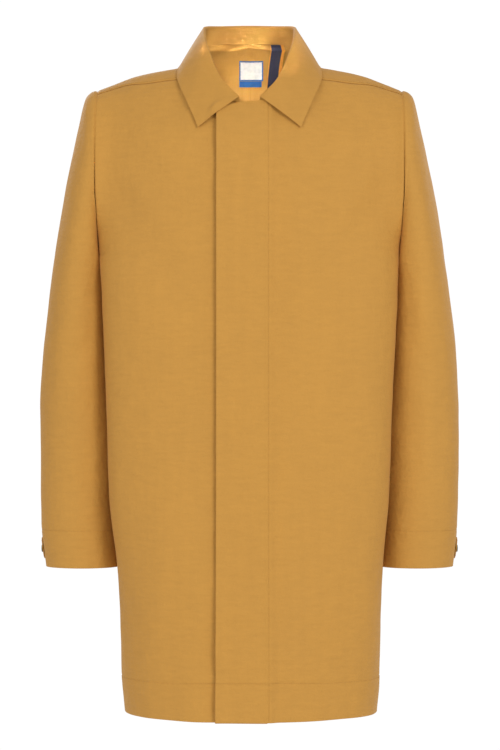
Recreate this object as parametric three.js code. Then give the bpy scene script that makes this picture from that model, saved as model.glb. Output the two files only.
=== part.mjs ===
import * as THREE from 'three';

// Lightweight single-breasted raincoat with a fly front, size large. Millimetres, +Z up.
// The front faces -Y and +X is the wearer's left. The origin is the neck centre on the shoulder line.

// ---- driving dimensions ----
const CLOTH = 2.0;            // outer cloth, a solid stand-in for the thin coated fabric
const FACING = 1.2;           // turned hems, facings and tapes
const GAP = 0.4;              // between pieces that are sewn together
const HEM_Z = -925;
const HEM_DEPTH = 52;
const SHOULDER_X = 217;       // half the shoulder width, and the plane of each armhole
const ARM_TOP_Z = -42;
const ARM_MID_Z = -160;
const UNDERARM_Z = -280;
const ARM_DEPTH = 70;         // half the armhole's depth, front to back
const CORNER = 2.5;           // squareness of the body's section
const NECK_X = 80;            // half the neck hole's width
const NECK_FRONT_Z = -68;
const NECK_BACK_Y = 58;
const PLACKET_OUT = -45;      // free edge of the overlapping left front
const PLACKET_STITCH = 26;    // stitched edge of the fly band
const UNDERLAP_X = 22;        // free edge of the right front, under the fly
const PLACKET_LIFT = 8.5;     // outer face of the fly above the right front
const FLY_LAYER_LIFT = 5.4;
const HINGE_TOP_X = 75;       // line that each front folds back on
const HINGE_FOOT_X = 135;
const HINGE_TOP_Z = -60;
const SNAP_COUNT = 6;
const SNAP_TOP_Z = -120;
const SNAP_PITCH = 128;
const SNAP_X = -8;
const SNAP_R = 6.5;
const CUFF_Z = -721;
const CUFF_DEPTH = 53;
const TAB_Z = -695;
const TAB_HEIGHT = 30;
const TAPE_TOP_Z = 20;         // the hanging tape's two sewn ends
const TAPE_FOOT_Z = -42;

// ---- small tools ----
const V = (x, y, z) => new THREE.Vector3(x, y, z);
const lerp = THREE.MathUtils.lerp;
const rad = THREE.MathUtils.degToRad;

// A smooth function through rows of [input, output], inputs rising.
function table(rows) {
  const n = rows.length;
  const slope = rows.map((_, i) => {
    if (i === 0 || i === n - 1) return 0;
    const [a, b, c] = [rows[i - 1], rows[i], rows[i + 1]];
    const l = (b[1] - a[1]) / (b[0] - a[0]);
    const r = (c[1] - b[1]) / (c[0] - b[0]);
    return l * r <= 0 ? 0 : (2 * l * r) / (l + r);
  });
  slope[0] = (rows[1][1] - rows[0][1]) / (rows[1][0] - rows[0][0]);
  slope[n - 1] = (rows[n - 1][1] - rows[n - 2][1]) / (rows[n - 1][0] - rows[n - 2][0]);
  return (v) => {
    if (v <= rows[0][0]) return rows[0][1];
    if (v >= rows[n - 1][0]) return rows[n - 1][1];
    let i = 0;
    while (v > rows[i + 1][0]) i += 1;
    const w = rows[i + 1][0] - rows[i][0];
    const t = (v - rows[i][0]) / w;
    const t2 = t * t, t3 = t2 * t;
    return (2 * t3 - 3 * t2 + 1) * rows[i][1] + (t3 - 2 * t2 + t) * w * slope[i]
      + (3 * t2 - 2 * t3) * rows[i + 1][1] + (t3 - t2) * w * slope[i + 1];
  };
}

// A grid of points over i and j. cell(i, j) gives a point, or null where the piece is cut away.
function grid(ni, nj, cell) {
  return Array.from({ length: ni + 1 }, (_, i) =>
    Array.from({ length: nj + 1 }, (_, j) => cell(i / ni, j / nj, i, j)));
}

// The unit normals of a grid, turned to the side that outward(point) points to.
function normals(points, outward, wrap) {
  const ni = points.length;
  const at = (i, j) => {
    const k = wrap ? (i + ni) % ni : i;
    return points[k] ? points[k][j] : undefined;
  };
  const step = (a, p, b) => (a && b ? b.clone().sub(a) : b ? b.clone().sub(p) : p.clone().sub(a));
  let sum = 0;
  const found = points.map((row, i) => row.map((p, j) => {
    if (!p) return null;
    const n = step(at(i - 1, j), p, at(i + 1, j)).cross(step(at(i, j - 1), p, at(i, j + 1)));
    n.normalize();
    sum += n.dot(outward(p));
    return n;
  }));
  if (sum < 0) found.forEach((row) => row.forEach((n) => n && n.negate()));
  return { found, sign: Math.sign(sum) };
}

// A closed sheet: its outer face lies lift outside the grid, and it is thick deep.
function shell(points, { thick = CLOTH, lift = () => 0, outward, wrap = false, straighten }) {
  const { found, sign } = normals(points, outward, wrap);
  if (straighten) points.forEach((row, i) => row.forEach((p, j) => p && straighten(p, found[i][j], i)));
  const nj = points[0].length;
  const position = [];
  const id = points.map((row, i) => row.map((p, j) => {
    if (!p) return -1;
    const n = found[i][j];
    const outer = p.clone().addScaledVector(n, lift(p));
    const inner = outer.clone().addScaledVector(n, -thick);
    position.push(outer.x, outer.y, outer.z, inner.x, inner.y, inner.z);
    return position.length / 6 - 1;
  }));
  const index = [];
  const edges = new Map();
  const face = (a, b, c) => {
    index.push(2 * a, 2 * b, 2 * c, 2 * a + 1, 2 * c + 1, 2 * b + 1);
    [[a, b], [b, c], [c, a]].forEach(([p, q]) => {
      if (!edges.delete(`${q},${p}`)) edges.set(`${p},${q}`, [p, q]);
    });
  };
  const last = wrap ? points.length : points.length - 1;
  for (let i = 0; i < last; i += 1) {
    const k = (i + 1) % points.length;
    for (let j = 0; j < nj - 1; j += 1) {
      const quad = [id[i][j], id[k][j], id[k][j + 1], id[i][j + 1]];
      if (quad.some((q) => q < 0)) continue;
      if (sign < 0) quad.reverse();
      face(quad[0], quad[1], quad[2]);
      face(quad[0], quad[2], quad[3]);
    }
  }
  edges.forEach(([a, b]) => {
    index.push(2 * b, 2 * a, 2 * a + 1, 2 * b, 2 * a + 1, 2 * b + 1);
  });
  const geometry = new THREE.BufferGeometry();
  geometry.setAttribute('position', new THREE.Float32BufferAttribute(position, 3));
  geometry.setIndex(index);
  geometry.computeVertexNormals();
  return geometry;
}

// ---- materials ----
const coat = { color: 0xc79349, roughness: 0.72, metalness: 0 };
const LOOK = {
  coat,
  inside: { color: 0xb98640, roughness: 0.8, metalness: 0 },
  navy: { color: 0x1f2a44, roughness: 0.85, metalness: 0 },
  amber: { color: 0xc8641e, roughness: 0.85, metalness: 0 },
  label: { color: 0xe8e4da, roughness: 0.9, metalness: 0 },
  blue: { color: 0x2f5fa8, roughness: 0.85, metalness: 0 },
  snap: { color: 0x6a6450, roughness: 0.4, metalness: 0.8 },
};
const root = new THREE.Group();
root.name = 'raincoat';
function add(name, geometry, look) {
  const mesh = new THREE.Mesh(geometry, new THREE.MeshStandardMaterial(LOOK[look]));
  mesh.name = name;
  root.add(mesh);
}

// ---- the body's form ----
const ridgeZ = table([[0, 50], [50, 38], [80, 12], [99, -8], [119, -12], [161, -21], [194, -33],
  [SHOULDER_X, ARM_TOP_Z]]);
const seamDrop = table([[NECK_X, 36], [100, 22], [145, 18], [182, 10], [SHOULDER_X, 7]]);
const halfWidth = table([[HEM_Z, 179], [-885, 181], [-769, 184], [-712, 187], [-626, 196.5],
  [-483, 202], [-340, 207.8], [-300, 210], [-250, 214.5], [-200, SHOULDER_X]]);
const depthFront = table([[HEM_Z, 134], [-700, 126], [-500, 119], [-300, 114], [-200, 110],
  [-120, 101], [-62, 91], [60, 86]]);
const depthBack = table([[HEM_Z, 128], [-700, 121], [-500, 116], [-300, 118], [-150, 116],
  [-60, 100], [10, 96]]);
const archFront = (x) => lerp(150, ARM_TOP_Z - ARM_MID_Z, x / SHOULDER_X);
const archBack = (x) => lerp(100, ARM_TOP_Z - ARM_MID_Z, x / SHOULDER_X);

function armDepth(z) {
  if (z >= ARM_MID_Z) return ARM_DEPTH;
  if (z <= UNDERARM_Z) return 0;
  return ARM_DEPTH * Math.sqrt(1 - ((z - ARM_MID_Z) / (UNDERARM_Z - ARM_MID_Z)) ** 2);
}

// How far the body reaches in front of or behind the shoulder line, at x and z.
function reach(x, z, depth) {
  const u = Math.min(1, Math.abs(x) / halfWidth(z));
  return Math.hypot(depth(z) * (1 - u ** CORNER) ** (1 / CORNER), armDepth(z) * u ** 6);
}

function frontPoint(x, z) {
  const s = THREE.MathUtils.clamp((ridgeZ(Math.abs(x)) - z) / archFront(Math.abs(x)), 0, 1);
  const g = Math.sqrt(1 - (1 - s) ** 2);
  return V(x, -GAP / 2 - g * reach(x, z, depthFront), z);
}

// A point of the back: u across, from 0 at the centre to 1 at the side, and z down from the ridge.
function backPoint(x, z) {
  const s = THREE.MathUtils.clamp((ridgeZ(Math.abs(x)) - z) / archBack(Math.abs(x)), 0, 1);
  const g = Math.sqrt(1 - (1 - s) ** 2);
  return V(x, GAP / 2 + g * reach(x, z, depthBack), z);
}

// Over the shoulder: angle is negative in front of the ridge and positive behind it.
function shoulderPoint(x, angle) {
  const front = angle < 0;
  const arch = front ? archFront(x) : archBack(x);
  const z = ridgeZ(x) - arch * (1 - Math.cos(angle));
  return front ? frontPoint(x, z) : backPoint(x, z);
}

const seamZ = (x) => ridgeZ(x) - seamDrop(x);
const neckFrontZ = (x) => lerp(NECK_FRONT_Z, seamZ(NECK_X), 1 - Math.sqrt(1 - (x / NECK_X) ** 2));
const frontTopZ = (x) => (Math.abs(x) < NECK_X ? neckFrontZ(Math.abs(x)) : seamZ(Math.abs(x)));
// The overlap's top edge runs just below the right collar wing, so that it opens clear of it.
const overlapTopZ = (x) => (x > -8 ? frontTopZ(x) : NECK_FRONT_Z - 6 + 0.72 * (x + 8));
const hingeX = (z) => lerp(HINGE_TOP_X, HINGE_FOOT_X, (z - HINGE_TOP_Z) / (HEM_Z - HINGE_TOP_Z));
const bodyOutward = (p) => V(p.x * 0.4, p.y, Math.max(0, p.z + 60));

// At the side seam the cloth faces straight out, and at the centre back it faces straight back.
function straightenSide(p, n) {
  if (p.z < UNDERARM_Z && Math.abs(p.x) > halfWidth(p.z) - 1) n.set(Math.sign(p.x), 0, 0);
  if (p.y > 0 && Math.abs(p.x) < 1) n.setX(0).normalize();
}

// Rows that crowd towards the top, where the cloth turns over the shoulder.
const crowd = (t) => 1 - (1 - t) ** 1.6;

// ---- back ----
function backNeckAngle(x) {
  const y = NECK_BACK_Y * Math.sqrt(1 - (x / (NECK_X + 4)) ** 2);
  return Math.asin(Math.min(1, y / reach(x, ridgeZ(x) - 15, depthBack)));
}

const ACROSS = 11;
const NECK_COLUMNS = 4;
const OVER_ROWS = 4;
const DOWN_ROWS = 13;
const backColumn = (i) => {
  if (i <= NECK_COLUMNS) return (NECK_X / SHOULDER_X) * (i / NECK_COLUMNS);
  const t = (i - NECK_COLUMNS) / (ACROSS - NECK_COLUMNS);
  return lerp(NECK_X / SHOULDER_X, 1, Math.sin(t * Math.PI / 2) ** 0.9);
};

function backCell(side, i, j, top = 0) {
  const u = backColumn(i);
  const x = u * SHOULDER_X;
  if (j < OVER_ROWS) {
    if (i < NECK_COLUMNS) return null;
    const low = -Math.acos(1 - (seamDrop(x) - 2 * GAP) / archFront(x));
    const high = backNeckAngle(NECK_X);
    const p = shoulderPoint(x, lerp(low, high, j / OVER_ROWS));
    p.x *= side;
    return p;
  }
  const angle = i < NECK_COLUMNS ? backNeckAngle(x) : backNeckAngle(NECK_X);
  const z0 = ridgeZ(x) - archBack(x) * (1 - Math.cos(angle)) - top;
  const t = (j - OVER_ROWS) / DOWN_ROWS;
  const z = lerp(z0, HEM_Z, t ** 1.45);
  const p = backPoint(u * halfWidth(z), z);
  p.x = side * Math.max(p.x, GAP / 2);
  return p;
}

for (const [name, side] of [['left', 1], ['right', -1]]) {
  const points = grid(ACROSS, OVER_ROWS + DOWN_ROWS, (_u, _v, i, j) => backCell(side, i, j));
  add(`back_${name}`, shell(points, { outward: bodyOutward, straighten: straightenSide }), 'coat');
}

// ---- fronts ----
const FRONT_ROWS = 14;
function sideFront(side) {
  return grid(9, FRONT_ROWS, (u, v) => {
    const a = Math.sin(u * Math.PI / 2) ** 0.8;
    const zt = frontTopZ(lerp(HINGE_TOP_X + GAP, SHOULDER_X, a));
    const z = lerp(HEM_Z, zt, crowd(v));
    const x = lerp(hingeX(z) + GAP, halfWidth(z), a);
    const p = frontPoint(x, z);
    p.x *= side;
    return p;
  });
}

// The part of a front that opens: columns at the x in stops, then even ones out to the hinge line.
function openingFront(side, stops, more, topZ = frontTopZ) {
  const fixed = stops.length - 1;
  return grid(fixed + more, FRONT_ROWS, (_u, v, i) => {
    const across = (out) => (i <= fixed ? stops[i] : lerp(stops[fixed], out, (i - fixed) / more));
    const zt = topZ(across(HINGE_TOP_X - GAP)) - GAP;
    const z = lerp(HEM_Z, zt, crowd(v));
    const p = frontPoint(across(hingeX(z) - GAP), z);
    p.x *= side;
    return p;
  });
}

// The left front steps up off the right one across the fly.
const flyLift = (top) => (p) => top
  * (1 - THREE.MathUtils.smoothstep(p.x, PLACKET_STITCH - 2, PLACKET_STITCH + 16));

add('side_front_left', shell(sideFront(1), { outward: bodyOutward, straighten: straightenSide }), 'coat');
add('side_front_right', shell(sideFront(-1), { outward: bodyOutward, straighten: straightenSide }), 'coat');
add('front_left', shell(openingFront(1, [PLACKET_OUT, -21, -8, 3, PLACKET_STITCH, PLACKET_STITCH + 16], 4,
  overlapTopZ),
  { thick: 1.5, lift: flyLift(PLACKET_LIFT), outward: bodyOutward }), 'coat');
add('front_right', shell(openingFront(-1, [-UNDERLAP_X, 0, 24], 5), { outward: bodyOutward }), 'coat');

// A strip of cloth on the inside or outside of the fronts, between two x and two z.
function frontStrip(x0, x1, z0, z1, nx, nz, topZ = frontTopZ) {
  return grid(nx, nz, (u, v) => {
    const x = lerp(x0, x1, u);
    const top = Math.min(z1, topZ(x) - 4);
    return frontPoint(x, lerp(z0, top, crowd(v)));
  });
}

add('fly_underlayer', shell(frontStrip(PLACKET_OUT + 3, PLACKET_STITCH - 3, HEM_Z + 4, 0, 4, FRONT_ROWS,
  overlapTopZ),
  { thick: 1.0, lift: () => FLY_LAYER_LIFT, outward: bodyOutward }), 'inside');
add('front_facing_right', shell(frontStrip(-52, UNDERLAP_X - 2, HEM_Z + HEM_DEPTH + 4, 0, 4, 16),
  { thick: FACING, lift: () => -CLOTH - 2 * GAP, outward: bodyOutward }), 'inside');

// ---- hidden press studs: a socket on the fly and a stud on the right front ----
function disc(radius, waist, height) {
  const profile = [[0, 0], [radius, 0], [radius, height * 0.4], [waist, height], [0, height]];
  return new THREE.LatheGeometry(profile.map(([r, h]) => new THREE.Vector2(r, h)), 10);
}

for (let k = 0; k < SNAP_COUNT; k += 1) {
  const z = SNAP_TOP_Z - k * SNAP_PITCH;
  const at = frontPoint(SNAP_X, z);
  const slope = Math.atan2(frontPoint(SNAP_X, z - 10).y - frontPoint(SNAP_X, z + 10).y, 20);
  const place = (geometry, off, faces) => {
    geometry.rotateX(slope + (faces < 0 ? Math.PI : 0));
    return geometry.translate(at.x, at.y - off, at.z);
  };
  add(`fly_stud_${k + 1}`, place(disc(SNAP_R, SNAP_R * 0.5, 2.0), GAP, -1), 'snap');
  add(`fly_socket_${k + 1}`, place(disc(SNAP_R, SNAP_R * 0.8, 1.0), 4.1, 1), 'snap');
}

// ---- turned hems ----
const hemLift = { thick: FACING, lift: () => -CLOTH - 4 * GAP, outward: bodyOutward, straighten: straightenSide };
const hemTop = (t) => lerp(HEM_Z + 0.5, HEM_Z + HEM_DEPTH, t);
for (const [name, side] of [['left', 1], ['right', -1]]) {
  add(`hem_back_${name}`, shell(grid(ACROSS, 2, (u, v, i) => {
    const z = hemTop(v);
    const p = backPoint(backColumn(i) * halfWidth(z) * 0.985, z);
    p.x = side * Math.max(p.x, GAP);
    return p;
  }), hemLift), 'inside');
  add(`hem_side_${name}`, shell(grid(7, 2, (u, v) => {
    const z = hemTop(v);
    const p = frontPoint(lerp(hingeX(z) + 1, halfWidth(z) * 0.985, Math.sin(u * Math.PI / 2) ** 0.9), z);
    p.x *= side;
    return p;
  }), hemLift), 'inside');
  const edge = side > 0 ? PLACKET_STITCH + 18 : 3 - UNDERLAP_X;
  add(`hem_front_${name}`, shell(grid(4, 2, (u, v) => {
    const z = hemTop(v);
    const p = frontPoint(lerp(edge, hingeX(z) - 1, u), z);
    p.x *= side;
    return p;
  }), { ...hemLift, lift: () => -CLOTH - 3 * GAP }), 'inside');
}

// ---- collar: a stand that rises from the neck seam and a leaf that folds down over it ----
const curve = (rows) => new THREE.CatmullRomCurve3(rows.map((r) => V(...r)), false, 'centripetal');
const FOLD = curve([[14, -95, -64], [38, -80, -37], [62.7, -45, 17], [69, -8, 39], [66, 28, 54],
  [40, 54, 59], [0, 62, 59]]);
const LEAF_EDGE = curve([[73, -102, -104], [78, -98, -88], [89, -79, -57], [100, -39, -16],
  [98, 18, 5], [80, 80, -7], [0, 106, -16]]);
const STAND_BASE = curve([[12, -92, -70], [42, -84, -54], [68, -64, -22], [81, -22, 12], [77, 22, 21],
  [46, 48, 33], [0, 60, 37]]);
const WING_END = 1.7 / 6;

function collarLeaf(side, from, to, n) {
  return grid(n, 4, (u, v) => {
    const t = lerp(from, to, u);
    const [f, l] = [FOLD.getPoint(t), LEAF_EDGE.getPoint(t)];
    const p = f.clone().lerp(l, v);
    const out = V(p.x, p.y + 10, 0).normalize();
    const roll = 7 + 9 * Math.sin(Math.PI * THREE.MathUtils.clamp(t / 0.6, 0, 1));
    p.addScaledVector(out, 3.4 + roll * Math.sin(Math.PI * v));
    p.z += 2.5 * (1 - v);
    p.x *= side;
    return p;
  });
}

function collarStand(side, from, to, n) {
  return grid(n, 2, (u, v) => {
    const t = lerp(from, to, u);
    const p = STAND_BASE.getPoint(t).lerp(FOLD.getPoint(t), lerp(0.06, 1, v));
    p.x *= side;
    return p;
  });
}

// Both halves of a back piece in one grid, from the wearer's left round to the right.
function bothSides(make, from, n) {
  const half = make(1, from, 1, n);
  const other = make(-1, from, 1, n).slice(0, -1).reverse();
  return [...half, ...other];
}

const collarOutward = (p) => V(p.x, p.y + 10, 0);
const leafOptions = { thick: 1.8, outward: collarOutward };
const standOptions = { thick: 1.8, outward: collarOutward };
add('collar_leaf_back', shell(bothSides(collarLeaf, WING_END + 0.006, 11), leafOptions), 'coat');
add('collar_stand_back', shell(bothSides(collarStand, WING_END + 0.006, 11), standOptions), 'inside');
for (const [name, side] of [['left', 1], ['right', -1]]) {
  add(`collar_leaf_${name}`, shell(collarLeaf(side, 0, WING_END, 5), leafOptions), 'coat');
  add(`collar_stand_${name}`, shell(collarStand(side, 0, WING_END, 4), standOptions), 'inside');
}

// ---- inside the back: facing, seam tapes, labels and hanging tape ----
function backStrip(x0, x1, z0, z1, nx, nz) {
  return grid(nx, nz, (u, v) => backPoint(lerp(x0, x1, u), lerp(z0, z1, v)));
}

const inward = (depth, thick = FACING) => ({ thick, lift: () => -depth, outward: bodyOutward });
add('neck_facing_back', shell(grid(6, 3, (u, v) => {
  const x = lerp(-60, 60, u);
  const a = backNeckAngle(Math.abs(x));
  const z = ridgeZ(Math.abs(x)) - archBack(Math.abs(x)) * (1 - Math.cos(a)) - 2;
  return backPoint(x, lerp(z, z - 30, v));
}), inward(CLOTH + 6 * GAP)), 'inside');
add('centre_back_tape', shell(backStrip(-6, 6, HEM_Z + HEM_DEPTH + 3, -50, 2, 10),
  inward(CLOTH + 5 * GAP, 0.8)), 'inside');
add('main_label', shell(backStrip(-15, 20, -15, 12, 4, 3), inward(6.6, 0.8)), 'label');
add('size_tab', shell(backStrip(-15, 18, -24, -15.8, 3, 2), inward(6.6, 0.8)), 'blue');

// The hanging tape is sewn down at both ends and stands off the cloth between them.
function hangingTape(x0, x1, lift) {
  return shell(backStrip(x0, x1, TAPE_FOOT_Z, TAPE_TOP_Z, 2, 8), {
    thick: 1.0, outward: bodyOutward,
    lift: (p) => {
      const along = THREE.MathUtils.clamp((p.z - TAPE_FOOT_Z) / (TAPE_TOP_Z - TAPE_FOOT_Z), 0, 1);
      return -(lift + 7 * Math.sin(Math.PI * along));
    },
  });
}
add('hanging_tape', hangingTape(31, 43, 7), 'navy');
add('hanging_tape_edge_inner', hangingTape(28.4, 30.6, 7), 'amber');
add('hanging_tape_edge_outer', hangingTape(43.4, 45.6, 7), 'amber');

for (const [name, side] of [['left', 1], ['right', -1]]) {
  add(`shoulder_tape_${name}`, shell(grid(7, 2, (u, v) => {
    const x = lerp(NECK_X + 8, SHOULDER_X - 6, u);
    const a = -Math.acos(1 - seamDrop(x) / archFront(x));
    const p = shoulderPoint(x, a + lerp(-0.05, 0.05, v));
    p.x *= side;
    return p;
  }), inward(CLOTH + 3 * GAP, 0.8)), 'inside');
  add(`side_seam_tape_${name}`, shell(grid(2, 9, (u, v) => {
    const z = lerp(HEM_Z + HEM_DEPTH + 3, UNDERARM_Z - 8, v);
    return V(side * (halfWidth(z) - CLOTH - 3.2), lerp(-6, 6, u), z);
  }), { thick: 0.8, outward: (p) => V(p.x, 0, 0) }), 'inside');
  add(`pocket_bag_${name}`, shell(grid(5, 6, (u, v) => {
    const z = lerp(-640, -440, v);
    const round = 1 - 0.35 * (1 - v) ** 3;
    const p = frontPoint(lerp(hingeX(z) + 12 + 30 * (1 - round), halfWidth(z) - 14, u), z);
    p.x *= side;
    return p;
  }), inward(CLOTH + 1.6, 2.4)), 'inside');
}

// ---- sleeves ----
// Each section is an oval between an outer and an inner point of the arm's outline, [x, z],
// with its half-depth front to back and the y of its middle.
const SECTIONS = [
  [[218.2, -42.5], [218.2, -279], 69, 0], [[231, -50], [218.5, -281], 70, 0.5],
  [[244, -97], [218.7, -285], 72, 1], [[257, -154], [218.7, -290], 72, 2],
  [[268, -212], [218.5, -297], 71, 3], [[277, -269], [217, -308], 70, 4],
  [[285, -326], [212, -332], 68, 5], [[292, -383], [208, -384], 64, 6],
  [[297, -440], [206, -440], 60, 7], [[299.6, -498], [203.4, -498], 57, 7],
  [[299.6, -555], [201.5, -555], 54, 6], [[298.5, -612], [199.5, -612], 51, 5],
  [[296.5, -669], [194.5, -669], 48.5, 4], [[291, CUFF_Z], [190, CUFF_Z], 46, 3],
];

// A point on the sleeve: s runs from 0 at the armhole to 1 at the cuff, and angle is 0 at the
// outer edge, 90 at the back and 180 at the inner edge.
function sleevePoint(side, s, angle, inset = 0) {
  const f = s * (SECTIONS.length - 1);
  const i = Math.min(Math.floor(f), SECTIONS.length - 2);
  const w = f - i;
  const mix = (a, b) => lerp(a, b, w);
  const [A, B] = [SECTIONS[i], SECTIONS[i + 1]];
  const outer = V(mix(A[0][0], B[0][0]), 0, mix(A[0][1], B[0][1]));
  const inner = V(mix(A[1][0], B[1][0]), 0, mix(A[1][1], B[1][1]));
  const half = outer.clone().sub(inner).multiplyScalar(0.5);
  const scale = 1 - inset / half.length();
  const p = inner.clone().add(half).addScaledVector(half, Math.cos(angle) * scale);
  p.y = mix(A[3], B[3]) + (mix(A[2], B[2]) - inset) * Math.sin(angle);
  p.x *= side;
  return p;
}

const sectionAt = (z) => {
  const last = SECTIONS.length - 1;
  for (let i = last; i > 0; i -= 1) {
    const [lo, hi] = [SECTIONS[i][0][1], SECTIONS[i - 1][0][1]];
    if (z <= hi) return (i - (z - lo) / (hi - lo)) / last;
  }
  return 0;
};
const SLEEVE_ROWS = SECTIONS.length - 1;

// Along the lines where the two halves of a sleeve meet, the cloth faces straight forward or back.
const HALF_STEPS = 8;
function faceFrontOrBack(p, n, i) {
  if (i === 0 || i === HALF_STEPS) n.set(0, Math.sign(n.y), 0);
}

for (const [name, side] of [['left', 1], ['right', -1]]) {
  const outward = (p) => {
    const s = sectionAt(Math.min(p.z, -60));
    const middle = sleevePoint(side, s, Math.PI / 2).add(sleevePoint(side, s, -Math.PI / 2));
    return p.clone().addScaledVector(middle, -0.5);
  };
  const half = (from, to) => shell(grid(HALF_STEPS, SLEEVE_ROWS,
    (u, v) => sleevePoint(side, v, rad(lerp(from, to, u)))), { outward, straighten: faceFrontOrBack });
  add(`sleeve_top_${name}`, half(-89.7, 89.7), 'coat');
  add(`sleeve_under_${name}`, half(90.3, 269.7), 'coat');

  const low = sectionAt(CUFF_Z + CUFF_DEPTH);
  const ring = grid(15, 2, (u, v, i) => sleevePoint(side, lerp(low, 0.998, v),
    rad(i * 22.5), CLOTH + GAP + 0.3));
  add(`cuff_facing_${name}`, shell(ring, { thick: FACING, outward, wrap: true }), 'inside');

  const tabFrom = sectionAt(TAB_Z + TAB_HEIGHT / 2), tabTo = sectionAt(TAB_Z - TAB_HEIGHT / 2);
  const tab = grid(8, 2, (u, v) => sleevePoint(side, lerp(tabFrom, tabTo, v),
    rad(lerp(-7, 96, u)), -0.5 - 1.4));
  add(`cuff_tab_${name}`, shell(tab, { thick: 1.4, outward }), 'coat');

  const cap = new THREE.LatheGeometry([[0, 0], [5.6, 0], [5.6, 0.8], [4.6, 1.8], [2.4, 2.3], [0, 2.4]]
    .map(([r, h]) => new THREE.Vector2(r, h)), 16);
  cap.rotateZ(-side * Math.PI / 2);
  const seat = sleevePoint(side, sectionAt(TAB_Z), 0, -0.5 - 1.4 - GAP);
  cap.translate(seat.x + side * 0.5, seat.y, seat.z);
  add(`cuff_snap_cap_${name}`, cap, 'snap');
}

export default root;
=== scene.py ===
"""A single-breasted raincoat with a fly front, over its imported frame. Metres, +Z up, front facing -Y."""

import logging
import math
from dataclasses import dataclass, field
from enum import Enum
from typing import Callable, Sequence

import bpy
import numpy as np
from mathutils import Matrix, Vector
from mathutils.kdtree import KDTree


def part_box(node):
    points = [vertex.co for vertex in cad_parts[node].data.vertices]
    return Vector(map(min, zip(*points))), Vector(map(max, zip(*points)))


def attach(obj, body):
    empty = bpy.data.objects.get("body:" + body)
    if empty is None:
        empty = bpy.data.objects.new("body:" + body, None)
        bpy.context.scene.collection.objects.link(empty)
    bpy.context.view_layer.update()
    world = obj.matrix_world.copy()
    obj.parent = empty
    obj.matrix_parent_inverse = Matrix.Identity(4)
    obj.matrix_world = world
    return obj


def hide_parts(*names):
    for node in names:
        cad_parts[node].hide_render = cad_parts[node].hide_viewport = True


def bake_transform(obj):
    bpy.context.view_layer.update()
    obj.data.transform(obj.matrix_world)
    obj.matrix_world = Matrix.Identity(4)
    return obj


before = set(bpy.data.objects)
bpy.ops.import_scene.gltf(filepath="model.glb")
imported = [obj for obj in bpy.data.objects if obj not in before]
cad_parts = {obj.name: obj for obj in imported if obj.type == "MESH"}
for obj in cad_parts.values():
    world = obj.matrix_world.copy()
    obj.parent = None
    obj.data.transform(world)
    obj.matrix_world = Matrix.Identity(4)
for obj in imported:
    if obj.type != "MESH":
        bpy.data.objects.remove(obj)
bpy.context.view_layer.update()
LOG = logging.getLogger("raincoat")

MM = 0.001
CLOTH = 0.8 * MM          # the outer cloth as it looks
SHOULDER_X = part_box("back_left")[1][0]
HEM_Z = round(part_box("back_left")[0][2], 3)
CUFF_Z = round(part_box("sleeve_top_left")[0][2], 3)
PLACKET_OUT = round(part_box("front_left")[0][0], 3)
UNDERLAP_X = round(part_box("front_right")[1][0], 3)
PLACKET_STITCH = 26.5 * MM  # the fly's stitch line
NECK_X = 80 * MM          # half the neck opening, at the shoulder
UNDERARM_Z = -0.280
ARM_TOP_Z = -0.042
ARM_MID_Z = -0.161
ARM_DEPTH = 70 * MM
CENTRAL = 60 * MM         # the flat middle of the front and back, where columns stay upright
SIDE_C = 0.30             # the across coordinate at the side seam
SEED = 7
STAND_SEAM_Z = 32.4 * MM  # the seam under the collar stand, at the centre back
STAND_SEAM_Y = 0.0565     # how far back it is there
STAND_SEAM_SLOPE = 0.143  # how it drops towards the front
FLY_LIFT = 6.4 * MM       # how far the fly stands off the front under it


class Side(Enum):
    """The wearer's left is +X."""

    LEFT = 1
    RIGHT = -1

    @property
    def word(self) -> str:
        """The side's name in the names of pieces."""
        return self.name.lower()


class Face(Enum):
    """Which half of the body a panel belongs to."""

    FRONT = -1
    BACK = 1


# ---- number helpers
def smooth_table(rows: Sequence[tuple[float, float]]) -> Callable[[np.ndarray], np.ndarray]:
    """A smooth function through (input, output) rows with rising inputs.

    Args:
        rows: The rows, in metres.

    Returns:
        A function that works on arrays and holds its end values outside the rows.
    """
    x, y = (np.array(v, float) for v in zip(*rows))
    d = np.diff(y) / np.diff(x)
    m = np.concatenate([[d[0]], np.zeros(len(x) - 2), [d[-1]]])
    for i in range(1, len(x) - 1):
        if d[i - 1] * d[i] > 0:
            m[i] = 2 * d[i - 1] * d[i] / (d[i - 1] + d[i])

    def at(v: np.ndarray) -> np.ndarray:
        """The function itself.

        Args:
            v: The inputs.

        Returns:
            The outputs.
        """
        v = np.clip(np.asarray(v, float), x[0], x[-1])
        i = np.clip(np.searchsorted(x, v, side="right") - 1, 0, len(x) - 2)
        w = x[i + 1] - x[i]
        t = (v - x[i]) / w
        return (
            (2 * t**3 - 3 * t**2 + 1) * y[i]
            + (t**3 - 2 * t**2 + t) * w * m[i]
            + (3 * t**2 - 2 * t**3) * y[i + 1]
            + (t**3 - t**2) * w * m[i + 1]
        )

    return at


def smoothstep(v: np.ndarray, a: float, b: float) -> np.ndarray:
    """0 below a, 1 above b and a smooth rise between them."""
    t = np.clip((v - a) / (b - a), 0, 1)
    return t * t * (3 - 2 * t)


def ridge(v: np.ndarray, width: float) -> np.ndarray:
    """A soft bump about zero."""
    return np.exp(-((v / width) ** 2))


def even(a: float, b: float, step: float) -> np.ndarray:
    """Values from a to b, about step apart, with the last one left out."""
    n = max(1, round(abs(b - a) / step))
    return np.linspace(a, b, n + 1)[:-1]


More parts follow.
